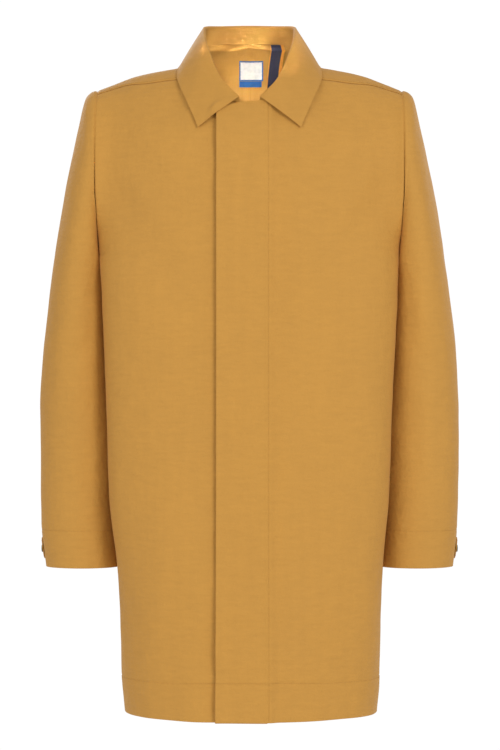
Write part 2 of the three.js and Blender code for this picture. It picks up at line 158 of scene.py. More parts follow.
class Ripple:
    """A smooth random field made of plane waves, the same on every run."""

    def __init__(self, seed: int, wavelength: tuple[float, float, float], waves: int = 14) -> None:
        """Draws the waves.

        Args:
            seed: Which field, added to SEED.
            wavelength: A usual wave's length along x, y and z.
            waves: How many waves are added up.
        """
        r = np.random.default_rng(SEED + seed)
        k = r.normal(size=(waves, 3))
        k /= np.linalg.norm(k, axis=1, keepdims=True)
        self.k = k * (2 * math.pi / np.array(wavelength)) * r.uniform(0.6, 1.5, (waves, 1))
        self.phase = r.uniform(0, 2 * math.pi, waves)
        self.amp = 1 / math.sqrt(waves)

    def __call__(self, p: np.ndarray) -> np.ndarray:
        """The field at points.

        Args:
            p: The points, with x, y and z last.

        Returns:
            A value for each, with a mean of zero.
        """
        total = np.zeros(p.shape[:-1])
        for k, f in zip(self.k, self.phase):
            total += np.sin(p @ k + f)
        return total * self.amp


def crease(p: np.ndarray, a: Sequence[float], b: Sequence[float], width: float) -> np.ndarray:
    """A ridge in the XZ plane that runs from a to b, strongest in its middle.

    Args:
        p: Points in space.
        a: The x and z of one end.
        b: The x and z of the other.
        width: How far it spreads.

    Returns:
        Its height at each point, from 0 to 1.
    """
    q = np.stack([p[..., 0], p[..., 2]], -1)
    s, e = np.array(a), np.array(b)
    d = e - s
    t = np.clip(((q - s) @ d) / (d @ d), 0, 1)
    off = np.linalg.norm(q - (s + t[..., None] * d), axis=-1)
    return ridge(off, width) * np.sin(np.pi * np.clip(0.08 + t * 0.84, 0, 1)) ** 1.2


# ---- the body's form
@dataclass
class BodyForm:
    """The shape that the filled coat holds: shoulder line, widths and depths."""

    ridge_z: Callable = smooth_table(
        [(0, 0.050), (0.050, 0.038), (0.080, 0.012), (0.099, -0.008), (0.119, -0.012),
         (0.161, -0.021), (0.194, -0.033), (0.217, ARM_TOP_Z)]
    )
    seam_drop: Callable = smooth_table(
        [(0.080, 0.036), (0.100, 0.022), (0.145, 0.018), (0.182, 0.010), (0.217, 0.007)]
    )
    half_width: Callable = smooth_table(
        [(-0.925, 0.1775), (-0.885, 0.181), (-0.769, 0.184), (-0.712, 0.187), (-0.626, 0.1955),
         (-0.483, 0.202), (-0.340, 0.2078), (-0.300, 0.210), (-0.250, 0.2145), (-0.200, 0.217)]
    )
    depth: dict = field(default_factory=lambda: {
        Face.FRONT: smooth_table(
            [(-0.925, 0.134), (-0.700, 0.126), (-0.500, 0.119), (-0.300, 0.114),
             (-0.200, 0.110), (-0.120, 0.101), (-0.062, 0.091), (0.060, 0.086)]),
        Face.BACK: smooth_table(
            [(-0.925, 0.128), (-0.700, 0.121), (-0.500, 0.116), (-0.300, 0.118),
             (-0.150, 0.116), (-0.060, 0.100), (0.010, 0.096)]),
    })
    corner: Callable = smooth_table([(-0.925, 2.25), (-0.75, 2.6), (-0.55, 3.0), (-0.33, 2.9), (-0.20, 2.5)])
    tuck: Callable = smooth_table([(-0.925, 0.02), (-0.76, 0.05), (-0.62, 0.105), (-0.32, 0.115),
                                   (-0.265, 0.05), (-0.225, 0.0)])
    sections: dict = field(default_factory=dict)
    zs: np.ndarray = field(default_factory=lambda: np.linspace(-0.96, 0.06, 420))

    def __post_init__(self) -> None:
        """Tabulates x and depth on the way round from the centre to the side, at each height."""
        theta = np.linspace(0, math.pi / 2, 260)
        scale = None
        for face in (Face.FRONT, Face.BACK):
            rows_x, rows_y, aeff = [], [], []
            for k, z in enumerate(self.zs):
                n, a = float(self.corner(z)), float(self.half_width(z))
                b = float(self.depth[face](z))
                x = a * np.sin(theta) ** (2 / n)
                y = b * np.cos(theta) ** (2 / n)
                y = np.hypot(y, self.arm_depth(z) * (x / a) ** 6)
                y[-1] = self.arm_depth(z)
                x = x * (1 - float(self.tuck(z)) * ridge(y, 0.042))
                if face is Face.FRONT:
                    aeff.append(a / x.max())
                grow = (aeff[-1] if face is Face.FRONT else scale[k])
                x = x * grow
                rows_x.append(x)
                rows_y.append(y)
            if face is Face.FRONT:
                scale = aeff
            top = int(np.searchsorted(self.zs, -0.15))
            for k in range(top, len(self.zs)):
                rows_x[k] = rows_x[top]
                n, a = float(self.corner(self.zs[k])), float(self.half_width(self.zs[k]))
                u = np.clip(rows_x[k] / a, 0, 1)
                b = float(self.depth[face](self.zs[k]))
                rows_y[k] = np.hypot(b * (1 - u**n) ** (1 / n), ARM_DEPTH * u**6)
            fx, fy = [], []
            f = np.linspace(0, 1, 240)
            for k, (x, y) in enumerate(zip(rows_x, rows_y)):
                ref = min(k, top)
                s = np.concatenate([[0], np.cumsum(np.hypot(np.diff(rows_x[ref]), np.diff(rows_y[ref])))])
                fx.append(np.interp(f * s[-1], s, x))
                fy.append(np.interp(f * s[-1], s, y))
            central = [float(np.interp(CENTRAL, x, np.linspace(0, 1, 240))) for x in
                       (np.maximum.accumulate(r) for r in fx)]
            self.sections[face] = (np.array(fx), np.array(fy), np.array(central))

    @staticmethod
    def arm_depth(z: np.ndarray) -> np.ndarray:
        """Half the armhole's depth front to back at z, and zero below the underarm."""
        low = np.clip((ARM_MID_Z - z) / (ARM_MID_Z - UNDERARM_Z), 0, 1)
        return ARM_DEPTH * np.sqrt(1 - low**2)

    def arch(self, x: np.ndarray, face: Face) -> np.ndarray:
        """How far below the shoulder line the cloth starts to turn in, at x."""
        middle = 0.150 if face is Face.FRONT else 0.100
        return middle + (ARM_TOP_Z - ARM_MID_Z - middle) * np.clip(np.abs(x) / SHOULDER_X, 0, 1)

    def across(self, face: Face, c: np.ndarray, z: np.ndarray) -> tuple[np.ndarray, np.ndarray]:
        """The x and the full depth at the across coordinate c, and at the height z.

        Args:
            face: The front or the back.
            c: From 0 at the centre to SIDE_C at the side seam, with x's sign.
            z: The heights.

        Returns:
            The x and the depth, before the shoulder turns the cloth in.
        """
        fx, fy, central = self.sections[face]
        k = np.clip((z - self.zs[0]) / (self.zs[1] - self.zs[0]), 0, len(self.zs) - 1.001)
        k0 = k.astype(int)
        kw = k - k0
        f0 = central[k0] * (1 - kw) + central[k0 + 1] * kw
        t = (np.abs(c) - CENTRAL) / (SIDE_C - CENTRAL)
        f = np.where(t < 0, f0 * np.abs(c) / CENTRAL, f0 + np.clip(t, 0, 1) * (1 - f0))
        g = np.clip(f, 0, 1) * (fx.shape[1] - 1.001)
        g0 = g.astype(int)
        gw = g - g0

        def mix(a: np.ndarray) -> np.ndarray:
            """A table's values between its rows and columns."""
            return ((a[k0, g0] * (1 - gw) + a[k0, g0 + 1] * gw) * (1 - kw)
                    + (a[k0 + 1, g0] * (1 - gw) + a[k0 + 1, g0 + 1] * gw) * kw)

        x, y = mix(fx), mix(fy)
        return np.where(t < 0, np.abs(c), x) * np.sign(c + 1e-12), y

    def over(self, c: np.ndarray, q: np.ndarray) -> np.ndarray:
        """Points of the back, up and over the shoulder.

        Args:
            c: Where across.
            q: 0 at the hem, 1 where it starts to turn over, 2 on the shoulder line, 3 at the turn's front.

        Returns:
            The points.
        """
        x_top, _ = self.across(Face.BACK, c, np.full_like(c, -0.1))
        back = q <= 2
        arch = np.where(back, self.arch(x_top, Face.BACK), self.arch(x_top, Face.FRONT))
        top = self.ridge_z(np.abs(x_top))
        angle = np.clip((2 - q) * math.pi / 2, -math.pi / 2, math.pi / 2)
        z_arch = top - arch * (1 - np.cos(angle))
        z = np.where(q < 1, HEM_Z + (top - arch - HEM_Z) * np.minimum(q, 1), z_arch)
        xb, yb = self.across(Face.BACK, c, z)
        yf = self.shoulder_depth(x_top, z)
        y = np.where(back, yb * np.where(q < 1, 1, np.sin(angle)), yf * np.sin(angle))
        return np.stack([np.where(back, xb, x_top), y, z], -1)

    def shoulder_depth(self, x: np.ndarray, z: np.ndarray) -> np.ndarray:
        """How far the front reaches at x and z above the chest, before the shoulder turns it in.

        Args:
            x: Where across.
            z: The heights.

        Returns:
            The depths.
        """
        u = np.clip(np.abs(x) / SHOULDER_X, 0, 1)
        straight = self.depth[Face.FRONT](z) * (1 - u**2.5) ** 0.4
        return np.hypot(straight, ARM_DEPTH * u**6)

    def front(self, c: np.ndarray, q: np.ndarray, edge: Callable | None = None) -> np.ndarray:
        """Points of a front panel.

        Args:
            c: Where across.
            q: 0 at the hem, 1 where it starts to turn in, 2 at its top edge.
            edge: The top edge's height at x, front_top if left out.

        Returns:
            The points.
        """
        x_top, _ = self.across(Face.FRONT, c, np.full_like(c, -0.1))
        top, arch = self.ridge_z(np.abs(x_top)), self.arch(x_top, Face.FRONT)
        phi = np.arccos(np.clip(1 - (top - (edge or self.front_top)(x_top)) / arch, -1, 1))
        angle = math.pi / 2 + (phi - math.pi / 2) * np.clip(q - 1, 0, 1)
        z = np.where(q < 1, HEM_Z + (top - arch - HEM_Z) * np.minimum(q, 1), top - arch * (1 - np.cos(angle)))
        x, y = self.across(Face.FRONT, c, z)
        return np.stack([x, -y * np.where(q < 1, 1, np.sin(angle)), z], -1)

    def overlap_top(self, x: np.ndarray) -> np.ndarray:
        """The left front's top edge: past the centre it runs down below the right collar wing.

        Args:
            x: Where across.

        Returns:
            The edge's heights.
        """
        turn = -8 * MM
        run = self.front_top(np.full_like(x, turn)) + 0.30 * (x - turn)
        return np.where(x > turn, self.front_top(x), run)

    def seam_z(self, x: np.ndarray) -> np.ndarray:
        """The height of the forward shoulder seam at x."""
        return self.ridge_z(np.abs(x)) - self.seam_drop(np.abs(x))

    def front_top(self, x: np.ndarray) -> np.ndarray:
        """The top edge of a front: the neckline, then the forward shoulder seam.

        Args:
            x: Where across.

        Returns:
            The edge's heights.
        """
        a = np.abs(x)
        low, high = -0.068, float(self.seam_z(np.array(NECK_X)))
        neck = low + (high - low) * (1 - np.sqrt(np.clip(1 - (a / NECK_X) ** 2, 0, 1)))
        return np.where(a < NECK_X, neck, self.seam_z(a))

    def back_neck_q(self, x: np.ndarray) -> np.ndarray:
        """Where the back neckline crosses a column, as the q of over().

        Args:
            x: The columns' places.

        Returns:
            Their q.
        """
        y = 0.058 * np.sqrt(np.clip(1 - (np.abs(x) / 0.084) ** 2, 0, 1))
        _, full = self.across(Face.BACK, np.abs(x), np.full_like(x, 0.0))
        return 2 - np.arcsin(np.clip(y / full, 0, 1)) / (math.pi / 2)


FORM = BodyForm()


# ---- how the cloth hangs
@dataclass
class Drape:
    """The soft folds and ripples of the cloth, measured outwards from the smooth form."""

    hem_fold: float = 2.6 * MM
    chest_fold: float = 1.7 * MM
    ripple: float = 0.55 * MM
    crinkle: float = 0.16 * MM
    seam_groove: float = 1.1 * MM
    slow: Ripple = field(default_factory=lambda: Ripple(1, (0.13, 0.13, 0.20)))
    quick: Ripple = field(default_factory=lambda: Ripple(2, (0.034, 0.034, 0.05)))

    def on_body(self, p: np.ndarray, face: Face) -> np.ndarray:
        """The folds of the fronts or the back.

        Args:
            p: Points of the smooth form.
            face: The front or the back.

        Returns:
            How far the cloth stands out at each.
        """
        x, z = p[..., 0], p[..., 2]
        low = smoothstep(-z, 0.34, 0.95)
        if face is Face.FRONT:
            fly = 1 - 0.72 * ridge(x - 0.004, 0.062)
            waves = np.sin((x + 0.03 * z) / 0.0197 + 0.7) + 0.55 * np.sin((x - 0.06 * z) / 0.0126 + 2.2)
            total = self.hem_fold * low * fly * waves
            for side in (1, -1):
                total = total + self.chest_fold * (
                    crease(p, (side * 0.196, -0.125), (side * 0.062, -0.315), 0.017)
                    - 0.8 * crease(p, (side * 0.200, -0.165), (side * 0.075, -0.385), 0.020)
                    + 0.9 * crease(p, (side * 0.203, -0.235), (side * 0.105, -0.480), 0.024)
                )
            total = total + 1.1 * MM * crease(p, (-0.165, -0.100), (-0.085, -0.180), 0.012)
            total = total + 0.9 * MM * crease(p, (0.052, -0.115), (0.068, -0.300), 0.014)
        else:
            waves = np.sin((x + 0.04 * z) / 0.0215 + 1.9) + 0.5 * np.sin((x - 0.05 * z) / 0.0118 + 0.4)
            total = 1.15 * self.hem_fold * low * waves
            for side in (1, -1):
                total = total + 1.2 * self.chest_fold * (
                    crease(p, (side * 0.198, -0.150), (side * 0.085, -0.300), 0.021)
                    - crease(p, (side * 0.202, -0.215), (side * 0.080, -0.400), 0.026)
                )
            total = total - self.seam_groove * ridge(x, 2.4 * MM)
        return total + self.ripple * self.slow(p) + self.crinkle * self.quick(p)

    def on_sleeve(self, p: np.ndarray, side: Side, angle: np.ndarray) -> np.ndarray:
        """The folds of a sleeve.

        Args:
            p: Points of the smooth form.
            side: The sleeve's side.
            angle: The angles round it.

        Returns:
            How far the cloth stands out at each.
        """
        x, z = np.abs(p[..., 0]), p[..., 2]
        q = np.stack([x, p[..., 1], z], -1)
        total = np.zeros(x.shape)
        for high, low, size in (
            ((0.222, -0.345), (0.287, -0.405), 1.5), ((0.214, -0.392), (0.283, -0.450), -1.6),
            ((0.219, -0.455), (0.275, -0.500), 1.1), ((0.228, -0.150), (0.262, -0.320), 1.3),
            ((0.232, -0.245), (0.222, -0.440), -1.1), ((0.262, -0.520), (0.232, -0.640), 0.9),
        ):
            total = total + size * MM * crease(q, high, low, 0.012)
        from_seam = np.remainder(angle - math.pi / 2 + math.pi, math.tau) - math.pi
        total = total - 0.7 * MM * ridge(from_seam, 0.035)
        return total + 0.9 * self.ripple * self.slow(p * 1.6 + side.value) + self.crinkle * self.quick(p)


DRAPE = Drape()


# ---- meshes
def link(name: str, mesh: bpy.types.Mesh) -> bpy.types.Object:
    """Puts a mesh in the scene at the origin.

    Args:
        name: The object's name.
        mesh: Its mesh.

    Returns:
        The object.
    """
    made = bpy.data.objects.new(name, mesh)
    bpy.context.scene.collection.objects.link(made)
    return made


def settle(piece: bpy.types.Object) -> bpy.types.Object:
    """Applies a piece's modifiers to its mesh and removes them.

    Args:
        piece: The piece.

    Returns:
        The same piece.
    """
    graph = bpy.context.evaluated_depsgraph_get()
    mesh = bpy.data.meshes.new_from_object(piece.evaluated_get(graph))
    old = piece.data
    piece.modifiers.clear()
    piece.data = mesh
    mesh.name = piece.name
    bpy.data.meshes.remove(old)
    return piece


def unit(n: np.ndarray) -> np.ndarray:
    """Vectors made one long."""
    return n / np.maximum(np.linalg.norm(n, axis=-1, keepdims=True), 1e-12)


def surface_normals(surface: Callable, a: np.ndarray, b: np.ndarray, da: float, db: float) -> np.ndarray:
    """Normals of a surface, from small steps.

    Args:
        surface: It gives points from a and b.
        a: The first coordinates.
        b: The second.
        da: The step of a.
        db: The step of b.

    Returns:
        Unit normals, on the side that a and b in turn give.
    """
    pa = surface(a + da, b) - surface(a - da, b)
    pb = surface(a, b + db) - surface(a, b - db)
    return unit(np.cross(pa, pb))


@dataclass
class Cloth:
    """A sheet of cloth laid out as a grid of points, with its outer face through them."""

    name: str
    points: np.ndarray
    thick: float = CLOTH
    flip: bool = False
    wrap: bool = False
    keep: np.ndarray | None = None

    def build(self) -> bpy.types.Object:
        """Makes the piece with its thickness inside the points, and sharp cut edges.

        Returns:
            The piece.
        """
        p = self.points
        rows, cols = p.shape[:2]
        index = np.arange(rows * cols).reshape(rows, cols)
        if self.wrap:
            index = np.concatenate([index, index[:, :1]], 1)
        quads = np.stack([index[:-1, :-1], index[:-1, 1:], index[1:, 1:], index[1:, :-1]], -1)
        along = np.cumsum(np.linalg.norm(np.diff(p, axis=1), axis=2), 1)
        across = np.cumsum(np.linalg.norm(np.diff(p, axis=0), axis=2), 0)
        du = np.concatenate([np.zeros((rows, 1)), along], 1)
        dv = np.concatenate([np.zeros((1, cols)), across], 0)
        u = du - du[:, cols // 2 : cols // 2 + 1]
        uv = np.stack([u, np.repeat(dv[:, cols // 2 : cols // 2 + 1], cols, 1)], -1).reshape(-1, 2)
        quads = quads[self.keep] if self.keep is not None else quads.reshape(-1, 4)
        if self.flip:
            quads = quads[:, ::-1]
        piece = link(self.name, self.mesh(p.reshape(-1, 3), quads, uv))
        thickness = piece.modifiers.new("thickness", "SOLIDIFY")
        thickness.thickness = self.thick
        thickness.offset = -1
        settle(piece)
        piece.data.shade_smooth()
        piece.data.set_sharp_from_angle(angle=math.radians(55))
        return piece

    def mesh(self, points: np.ndarray, quads: np.ndarray, uv: np.ndarray) -> bpy.types.Mesh:
        """A mesh of the quads, with unused points left out and a UV map in metres.

        Args:
            points: Every grid point.
            quads: Four point numbers for each face.
            uv: Each point's place on the map.

        Returns:
            The mesh.
        """
        used, renumbered = np.unique(quads, return_inverse=True)
        quads = renumbered.reshape(-1, 4).astype(np.int32)
        mesh = bpy.data.meshes.new(self.name)
        mesh.vertices.add(len(used))
        mesh.vertices.foreach_set("co", points[used].astype(np.float32).ravel())
        mesh.loops.add(quads.size)
        mesh.loops.foreach_set("vertex_index", quads.ravel())
        mesh.polygons.add(len(quads))
        mesh.polygons.foreach_set("loop_start", np.arange(0, quads.size, 4, dtype=np.int32))
        mesh.update(calc_edges=True)
        layer = mesh.uv_layers.new(name="UVMap")
        layer.uv.foreach_set("vector", uv[used][quads.ravel()].astype(np.float32).ravel())
        mesh.validate()
        return mesh


def lathe(name: str, profile: Sequence[tuple[float, float]], at: Vector, axis: Vector,
          segments: int = 28) -> bpy.types.Object:
    """A turned piece.

    Args:
        name: The piece's name.
        profile: Its (radius, height) points from the foot to the crown, both in metres.
        at: Where the foot's middle goes.
        axis: The direction from the foot to the crown.
        segments: Faces round it.

    Returns:
        The piece, closed and smooth with sharp corners.
    """
    turn = Vector((0, 0, 1)).rotation_difference(axis).to_matrix().to_4x4()
    angles = [math.tau * k / segments for k in range(segments)]
    points, faces, rings = [], [], []
    for radius, height in profile:
        ring = [(0.0, 0.0, height)] if radius < 1e-7 else [
            (radius * math.cos(t), radius * math.sin(t), height) for t in angles]
        rings.append(list(range(len(points), len(points) + len(ring))))
        points += ring
    for low, high in zip(rings, rings[1:]):
        for k in range(segments):
            m = (k + 1) % segments
            corner = [low[k % len(low)], low[m % len(low)], high[m % len(high)], high[k % len(high)]]
            faces.append(tuple(dict.fromkeys(corner)))
    mesh = bpy.data.meshes.new(name)
    mesh.from_pydata([at + turn @ Vector(p) for p in points], [], faces)
    mesh.validate()
    mesh.shade_smooth()
    mesh.set_sharp_from_angle(angle=math.radians(40))
    return link(name, mesh)


# ---- shader maths and finishes
class Num:
    """A shader number. Arithmetic on it adds Math nodes to its tree."""

    def __init__(self, maker: "Maker", socket: bpy.types.NodeSocket) -> None:
        """Wraps a socket that gives a number."""
        self.maker, self.socket = maker, socket

    def _with(self, operation: str, *values: "Num | float") -> "Num":
        """The result of one Math node."""
        made = self.maker.node("ShaderNodeMath", {"operation": operation}, *values)
        return Num(self.maker, made.outputs[0])

    def __add__(self, other: "Num | float") -> "Num":
        """This number plus another."""
        return self._with("ADD", self, other)

    def __radd__(self, other: float) -> "Num":
        """Another number plus this one."""
        return self._with("ADD", other, self)

    def __sub__(self, other: "Num | float") -> "Num":
        """This number less another."""
        return self._with("SUBTRACT", self, other)

    def __mul__(self, other: "Num | float") -> "Num":
        """This number times another."""
        return self._with("MULTIPLY", self, other)

    def sine(self) -> "Num":
        """The sine of this number of radians."""
        return self._with("SINE", self)

    def clamped(self) -> "Num":
        """This number held between 0 and 1."""
        return self._with("MINIMUM", self._with("MAXIMUM", self, 0.0), 1.0)


class Maker:
    """Builds one material's nodes."""

    def __init__(self, name: str) -> None:
        """Starts a material with the usual surface.

        Args:
            name: The material's name.
        """
        self.material = bpy.data.materials.new(name)
        self.material.use_nodes = True
        self.tree = self.material.node_tree
        self.shader = self.tree.nodes["Principled BSDF"]

    def node(self, kind: str, settings: dict | None = None, *values: object,
             **named: object) -> bpy.types.Node:
        """Adds a node.

        Args:
            kind: The node's type.
            settings: Its own properties, and for a ramp its stops as (place, colour).
            values: What its inputs get, in order: a Num, a socket, or a plain value.
            named: The same by the input's name, with _ for a space.

        Returns:
            The node.
        """
        made = self.tree.nodes.new(kind)
        for key, value in (settings or {}).items():
            setattr(made, key, value)
        pairs = list(zip(made.inputs, values))
        pairs += [(made.inputs[key.replace("_", " ")], value) for key, value in named.items()]
        for socket, value in pairs:
            self.feed(socket, value)
        return made

    def feed(self, socket: bpy.types.NodeSocket, value: object) -> None:
        """Links or sets one input.

        Args:
            socket: The input.
            value: A Num, a socket or a plain value.
        """
        if isinstance(value, Num):
            self.tree.links.new(value.socket, socket)
        elif isinstance(value, bpy.types.NodeSocket):
            self.tree.links.new(value, socket)
        else:
            socket.default_value = value

    def place(self, scale: tuple[float, float, float] = (1, 1, 1), uv: bool = False) -> bpy.types.NodeSocket:
        """Where a point is on the object, or on its own UV map, times scale."""
        where = self.node("ShaderNodeTexCoord").outputs["UV" if uv else "Object"]
        return self.node("ShaderNodeMapping", None, Vector=where, Scale=scale).outputs[0]

    def noise(self, place: bpy.types.NodeSocket, scale: float, detail: float = 3.0) -> Num:
        """A noise of about 0 to 1, whose spots are about 1/scale metres across."""
        made = self.node("ShaderNodeTexNoise", None, Vector=place, Scale=scale, Detail=detail)
        return Num(self, made.outputs["Fac"])

    def split(self, place: bpy.types.NodeSocket) -> tuple[Num, Num, Num]:
        """The three numbers of a place."""
        made = self.node("ShaderNodeSeparateXYZ", None, place)
        return tuple(Num(self, s) for s in made.outputs)

    def blend(self, factor: Num, a: tuple, b: tuple) -> bpy.types.NodeSocket:
        """The colour a where factor is 0 and b where it is 1.

        Args:
            factor: How far to go from a to b.
            a: The first colour.
            b: The second.

        Returns:
            The mixed colour.
        """
        made = self.node("ShaderNodeMix", {"data_type": "RGBA"})
        self.feed(made.inputs[0], factor)
        self.feed(made.inputs[6], a)
        self.feed(made.inputs[7], b)
        return made.outputs[2]

    def bump(self, height: Num, distance: float,
             under: bpy.types.NodeSocket | None = None) -> bpy.types.NodeSocket:
        """A bumped normal, over another bump if one is given.

        Args:
            height: The relief, from about 0 to 1.
            distance: How deep a relief of 1 is.
            under: The other bump.

        Returns:
            The normal.
        """
        made = self.node("ShaderNodeBump", None, Height=height, Distance=distance, Strength=1.0)
        if under is not None:
            self.feed(made.inputs["Normal"], under)
        return made.outputs[0]

    def set(self, **values: object) -> None:
        """Feeds the surface's own inputs, with _ for a space."""
        for key, value in values.items():
            self.feed(self.shader.inputs[key.replace("_", " ")], value)


def linear(r: int, g: int, b: int) -> tuple[float, float, float, float]:
    """A colour as light, from its usual 0 to 255 numbers."""
    return (*(v / 255 / 12.92 if v <= 10 else ((v / 255 + 0.055) / 1.055) ** 2.4 for v in (r, g, b)), 1.0)


def shaded(colour: tuple[float, ...], by: float) -> tuple[float, float, float, float]:
    """A colour made lighter or darker."""
    return (*(min(1.0, v * by) for v in colour[:3]), 1.0)


@dataclass(frozen=True)
class Finish:
    """A material, and the slot that it stands for."""

    name: str
    slot: str
    colour: tuple[float, float, float, float]
    roughness: float

    def make(self) -> bpy.types.Material:
        """Builds the material.

        Returns:
            The material.
        """
        maker = Maker(self.name)
        self.dress(maker)
        return maker.material

    def dress(self, maker: Maker) -> None:
        """Fills in the nodes."""
        raise NotImplementedError


@dataclass(frozen=True)
class CoatCloth(Finish):
    """A matt plain-weave shell fabric with a faint heather and a dry, papery crinkle, whose painted shade and
    highlight also tint its colour.
    """

    mottle: float = 0.05
    heather: float = 0.07
    # how strongly the crinkle's painted shade and highlight tint the colour
    crepe: float = 0.9
    weave: float = 0.62 * MM
    weave_depth: float = 0.035 * MM
    crinkle: float = 0.5 * MM
    sheen: float = 0.05

    def dress(self, maker: Maker) -> None:
        """Weave, slubs, cloudy colour, crinkles, and the crinkles' painted shade in their troughs and painted
        highlight on their crests.

        Args:
            maker: The material's maker.
        """
        here = maker.place()
        cloud = maker.noise(here, 9.0, 2.0)
        slub_across = maker.noise(maker.place((110, 1500, 1), uv=True), 1.0, 2.0)
        slub_down = maker.noise(maker.place((1500, 110, 1), uv=True), 1.0, 2.0)
        speck = maker.noise(here, 520.0, 2.0)
        # the crinkle's relief, which below also paints shade into its troughs and highlight onto its crests
        # in the colour
        crepe = maker.noise(maker.place((42, 42, 190)), 1.0, 4.0)
        streak = maker.noise(maker.place((75, 75, 5)), 1.0, 2.0)
        # random heather and mottle, plus the crinkle's painted shade in its troughs and painted highlight on
        # its crests
        tone = (0.5 + (cloud - 0.5) * (self.mottle * 10)
                + (slub_across + slub_down - 1.0) * (self.heather * 8) + (speck - 0.5) * (self.heather * 4)
                + (crepe - 0.5) * self.crepe + (streak - 0.5) * 0.5).clamped()
        low, high = shaded(self.colour, 1 - self.heather), shaded(self.colour, 1 + self.heather)
        u, v, _ = maker.split(maker.place((math.tau / self.weave,) * 3, uv=True))
        threads = u.sine() * v.sine()
        crease_a = maker.noise(here, 46.0, 3.0)
        crease_b = maker.noise(maker.place((1, 1, 0.45)), 130.0, 3.0)
        normal = maker.bump(crease_a, self.crinkle * 3.4)
        normal = maker.bump(crepe, self.crinkle * 1.8, normal)
        normal = maker.bump(crease_b, self.crinkle * 1.6, normal)
        normal = maker.bump(threads + (slub_across + slub_down) * 0.8, self.weave_depth, normal)
        rough = self.roughness + (slub_across - 0.5) * 0.10 + (cloud - 0.5) * 0.08
        maker.set(Base_Color=maker.blend(tone, low, high), Roughness=rough, Normal=normal,
                  Sheen_Weight=self.sheen, Sheen_Roughness=0.6, Specular_IOR_Level=0.28)


@dataclass(frozen=True)
class Ribbon(Finish):
    """A narrow woven ribbon with ribs across it."""

    rib: float = 0.9 * MM
    depth: float = 0.12 * MM

    def dress(self, maker: Maker) -> None:
        """Ribs across, a fine warp along, and a slightly uneven dye.

        Args:
            maker: The material's maker.
        """
        u, v, _ = maker.split(maker.place(uv=True))
        ribs = (v * (math.tau / self.rib)).sine() + (u * (math.tau / (self.rib * 0.45))).sine() * 0.35
        dye = maker.noise(maker.place(), 160.0, 3.0)
        tone = (0.5 + (dye - 0.5) * 1.3 + ribs * 0.16).clamped()
        maker.set(Base_Color=maker.blend(tone, shaded(self.colour, 0.82), shaded(self.colour, 1.16)),
                  Roughness=self.roughness + ribs * 0.04, Normal=maker.bump(ribs, self.depth),
                  Sheen_Weight=0.15, Specular_IOR_Level=0.35)


@dataclass(frozen=True)
class Thread(Finish):
    """Twisted sewing thread."""

    twist: float = 0.5 * MM

    def dress(self, maker: Maker) -> None:
        """A twist in the bump and the colour.

        Args:
            maker: The material's maker.
        """
        x, y, z = maker.split(maker.place((math.tau / self.twist,) * 3))
        twist = (x + y * 0.6 + z).sine()
        tone = (0.5 + twist * 0.35).clamped()
        maker.set(Base_Color=maker.blend(tone, shaded(self.colour, 0.86), shaded(self.colour, 1.1)),
                  Roughness=self.roughness + twist * 0.05, Normal=maker.bump(twist, 0.04 * MM))


@dataclass(frozen=True)
class StudMetal(Finish):
    """Dull olive-grey plated metal, worn brighter here and there."""

    def dress(self, maker: Maker) -> None:
        """Turning marks, small scratches and patchy plating.

        Args:
            maker: The material's maker.
        """
        here = maker.place()
        patch = maker.noise(here, 420.0, 4.0)
        scratch = maker.noise(maker.place((400, 60, 2600)), 1.0, 3.0)
        tone = (patch * 1.6 - 0.3).clamped()
        maker.set(Base_Color=maker.blend(tone, shaded(self.colour, 0.72), shaded(self.colour, 1.25)),
                  Roughness=self.roughness + (scratch - 0.5) * 0.3, Normal=maker.bump(scratch, 0.03 * MM),
                  Metallic=0.95)


class Finishes:
    """Every material of the coat, made once."""

    def __init__(self) -> None:
        """Lists the finishes with their colours."""
        ochre = linear(197, 143, 62)
        self.table = {f.name: f for f in (
            CoatCloth("ochre_shell_cloth", "coat_fabric", ochre, 0.70),
            CoatCloth("collar_cloth", "coat_fabric", shaded(ochre, 0.99), 0.68, crinkle=0.28 * MM),
            CoatCloth("ochre_facing_cloth", "facing_fabric", shaded(ochre, 0.97), 0.74, heather=0.06),
            CoatCloth("seam_tape_cloth", "facing_fabric", shaded(ochre, 1.04), 0.55, heather=0.04,
                      crinkle=0.2 * MM),
            Ribbon("navy_ribbon", "navy_tape", linear(40, 42, 66), 0.62),
            Ribbon("amber_ribbon", "amber_edge", linear(226, 150, 40), 0.58, rib=0.6 * MM),
            Ribbon("white_label_weave", "label_weave", linear(228, 224, 214), 0.66,
                   rib=0.45 * MM, depth=0.06 * MM),
            Ribbon("blue_label_weave", "blue_weave", linear(38, 92, 150), 0.62,
                   rib=0.45 * MM, depth=0.06 * MM),
            Thread("ochre_thread", "coat_fabric", shaded(ochre, 0.86), 0.6),
            Thread("white_thread", "label_weave", linear(222, 218, 208), 0.6),
            StudMetal("stud_metal", "snap_metal", linear(122, 112, 84), 0.40),
        )}
        self.made: dict[str, bpy.types.Material] = {}

    def get(self, name: str) -> bpy.types.Material:
        """The material of that name.

        Args:
            name: The finish's name.

        Returns:
            The material, made at its first use.
        """
        if name not in self.made:
            self.made[name] = self.table[name].make()
        return self.made[name]

    def put(self, piece: bpy.types.Object, name: str) -> bpy.types.Object:
        """Dresses a piece in a finish.

        Args:
            piece: The piece.
            name: The finish's name.

        Returns:
            The same piece.
        """
        piece.data.materials.clear()
        piece.data.materials.append(self.get(name))
        return piece


FINISH = Finishes()
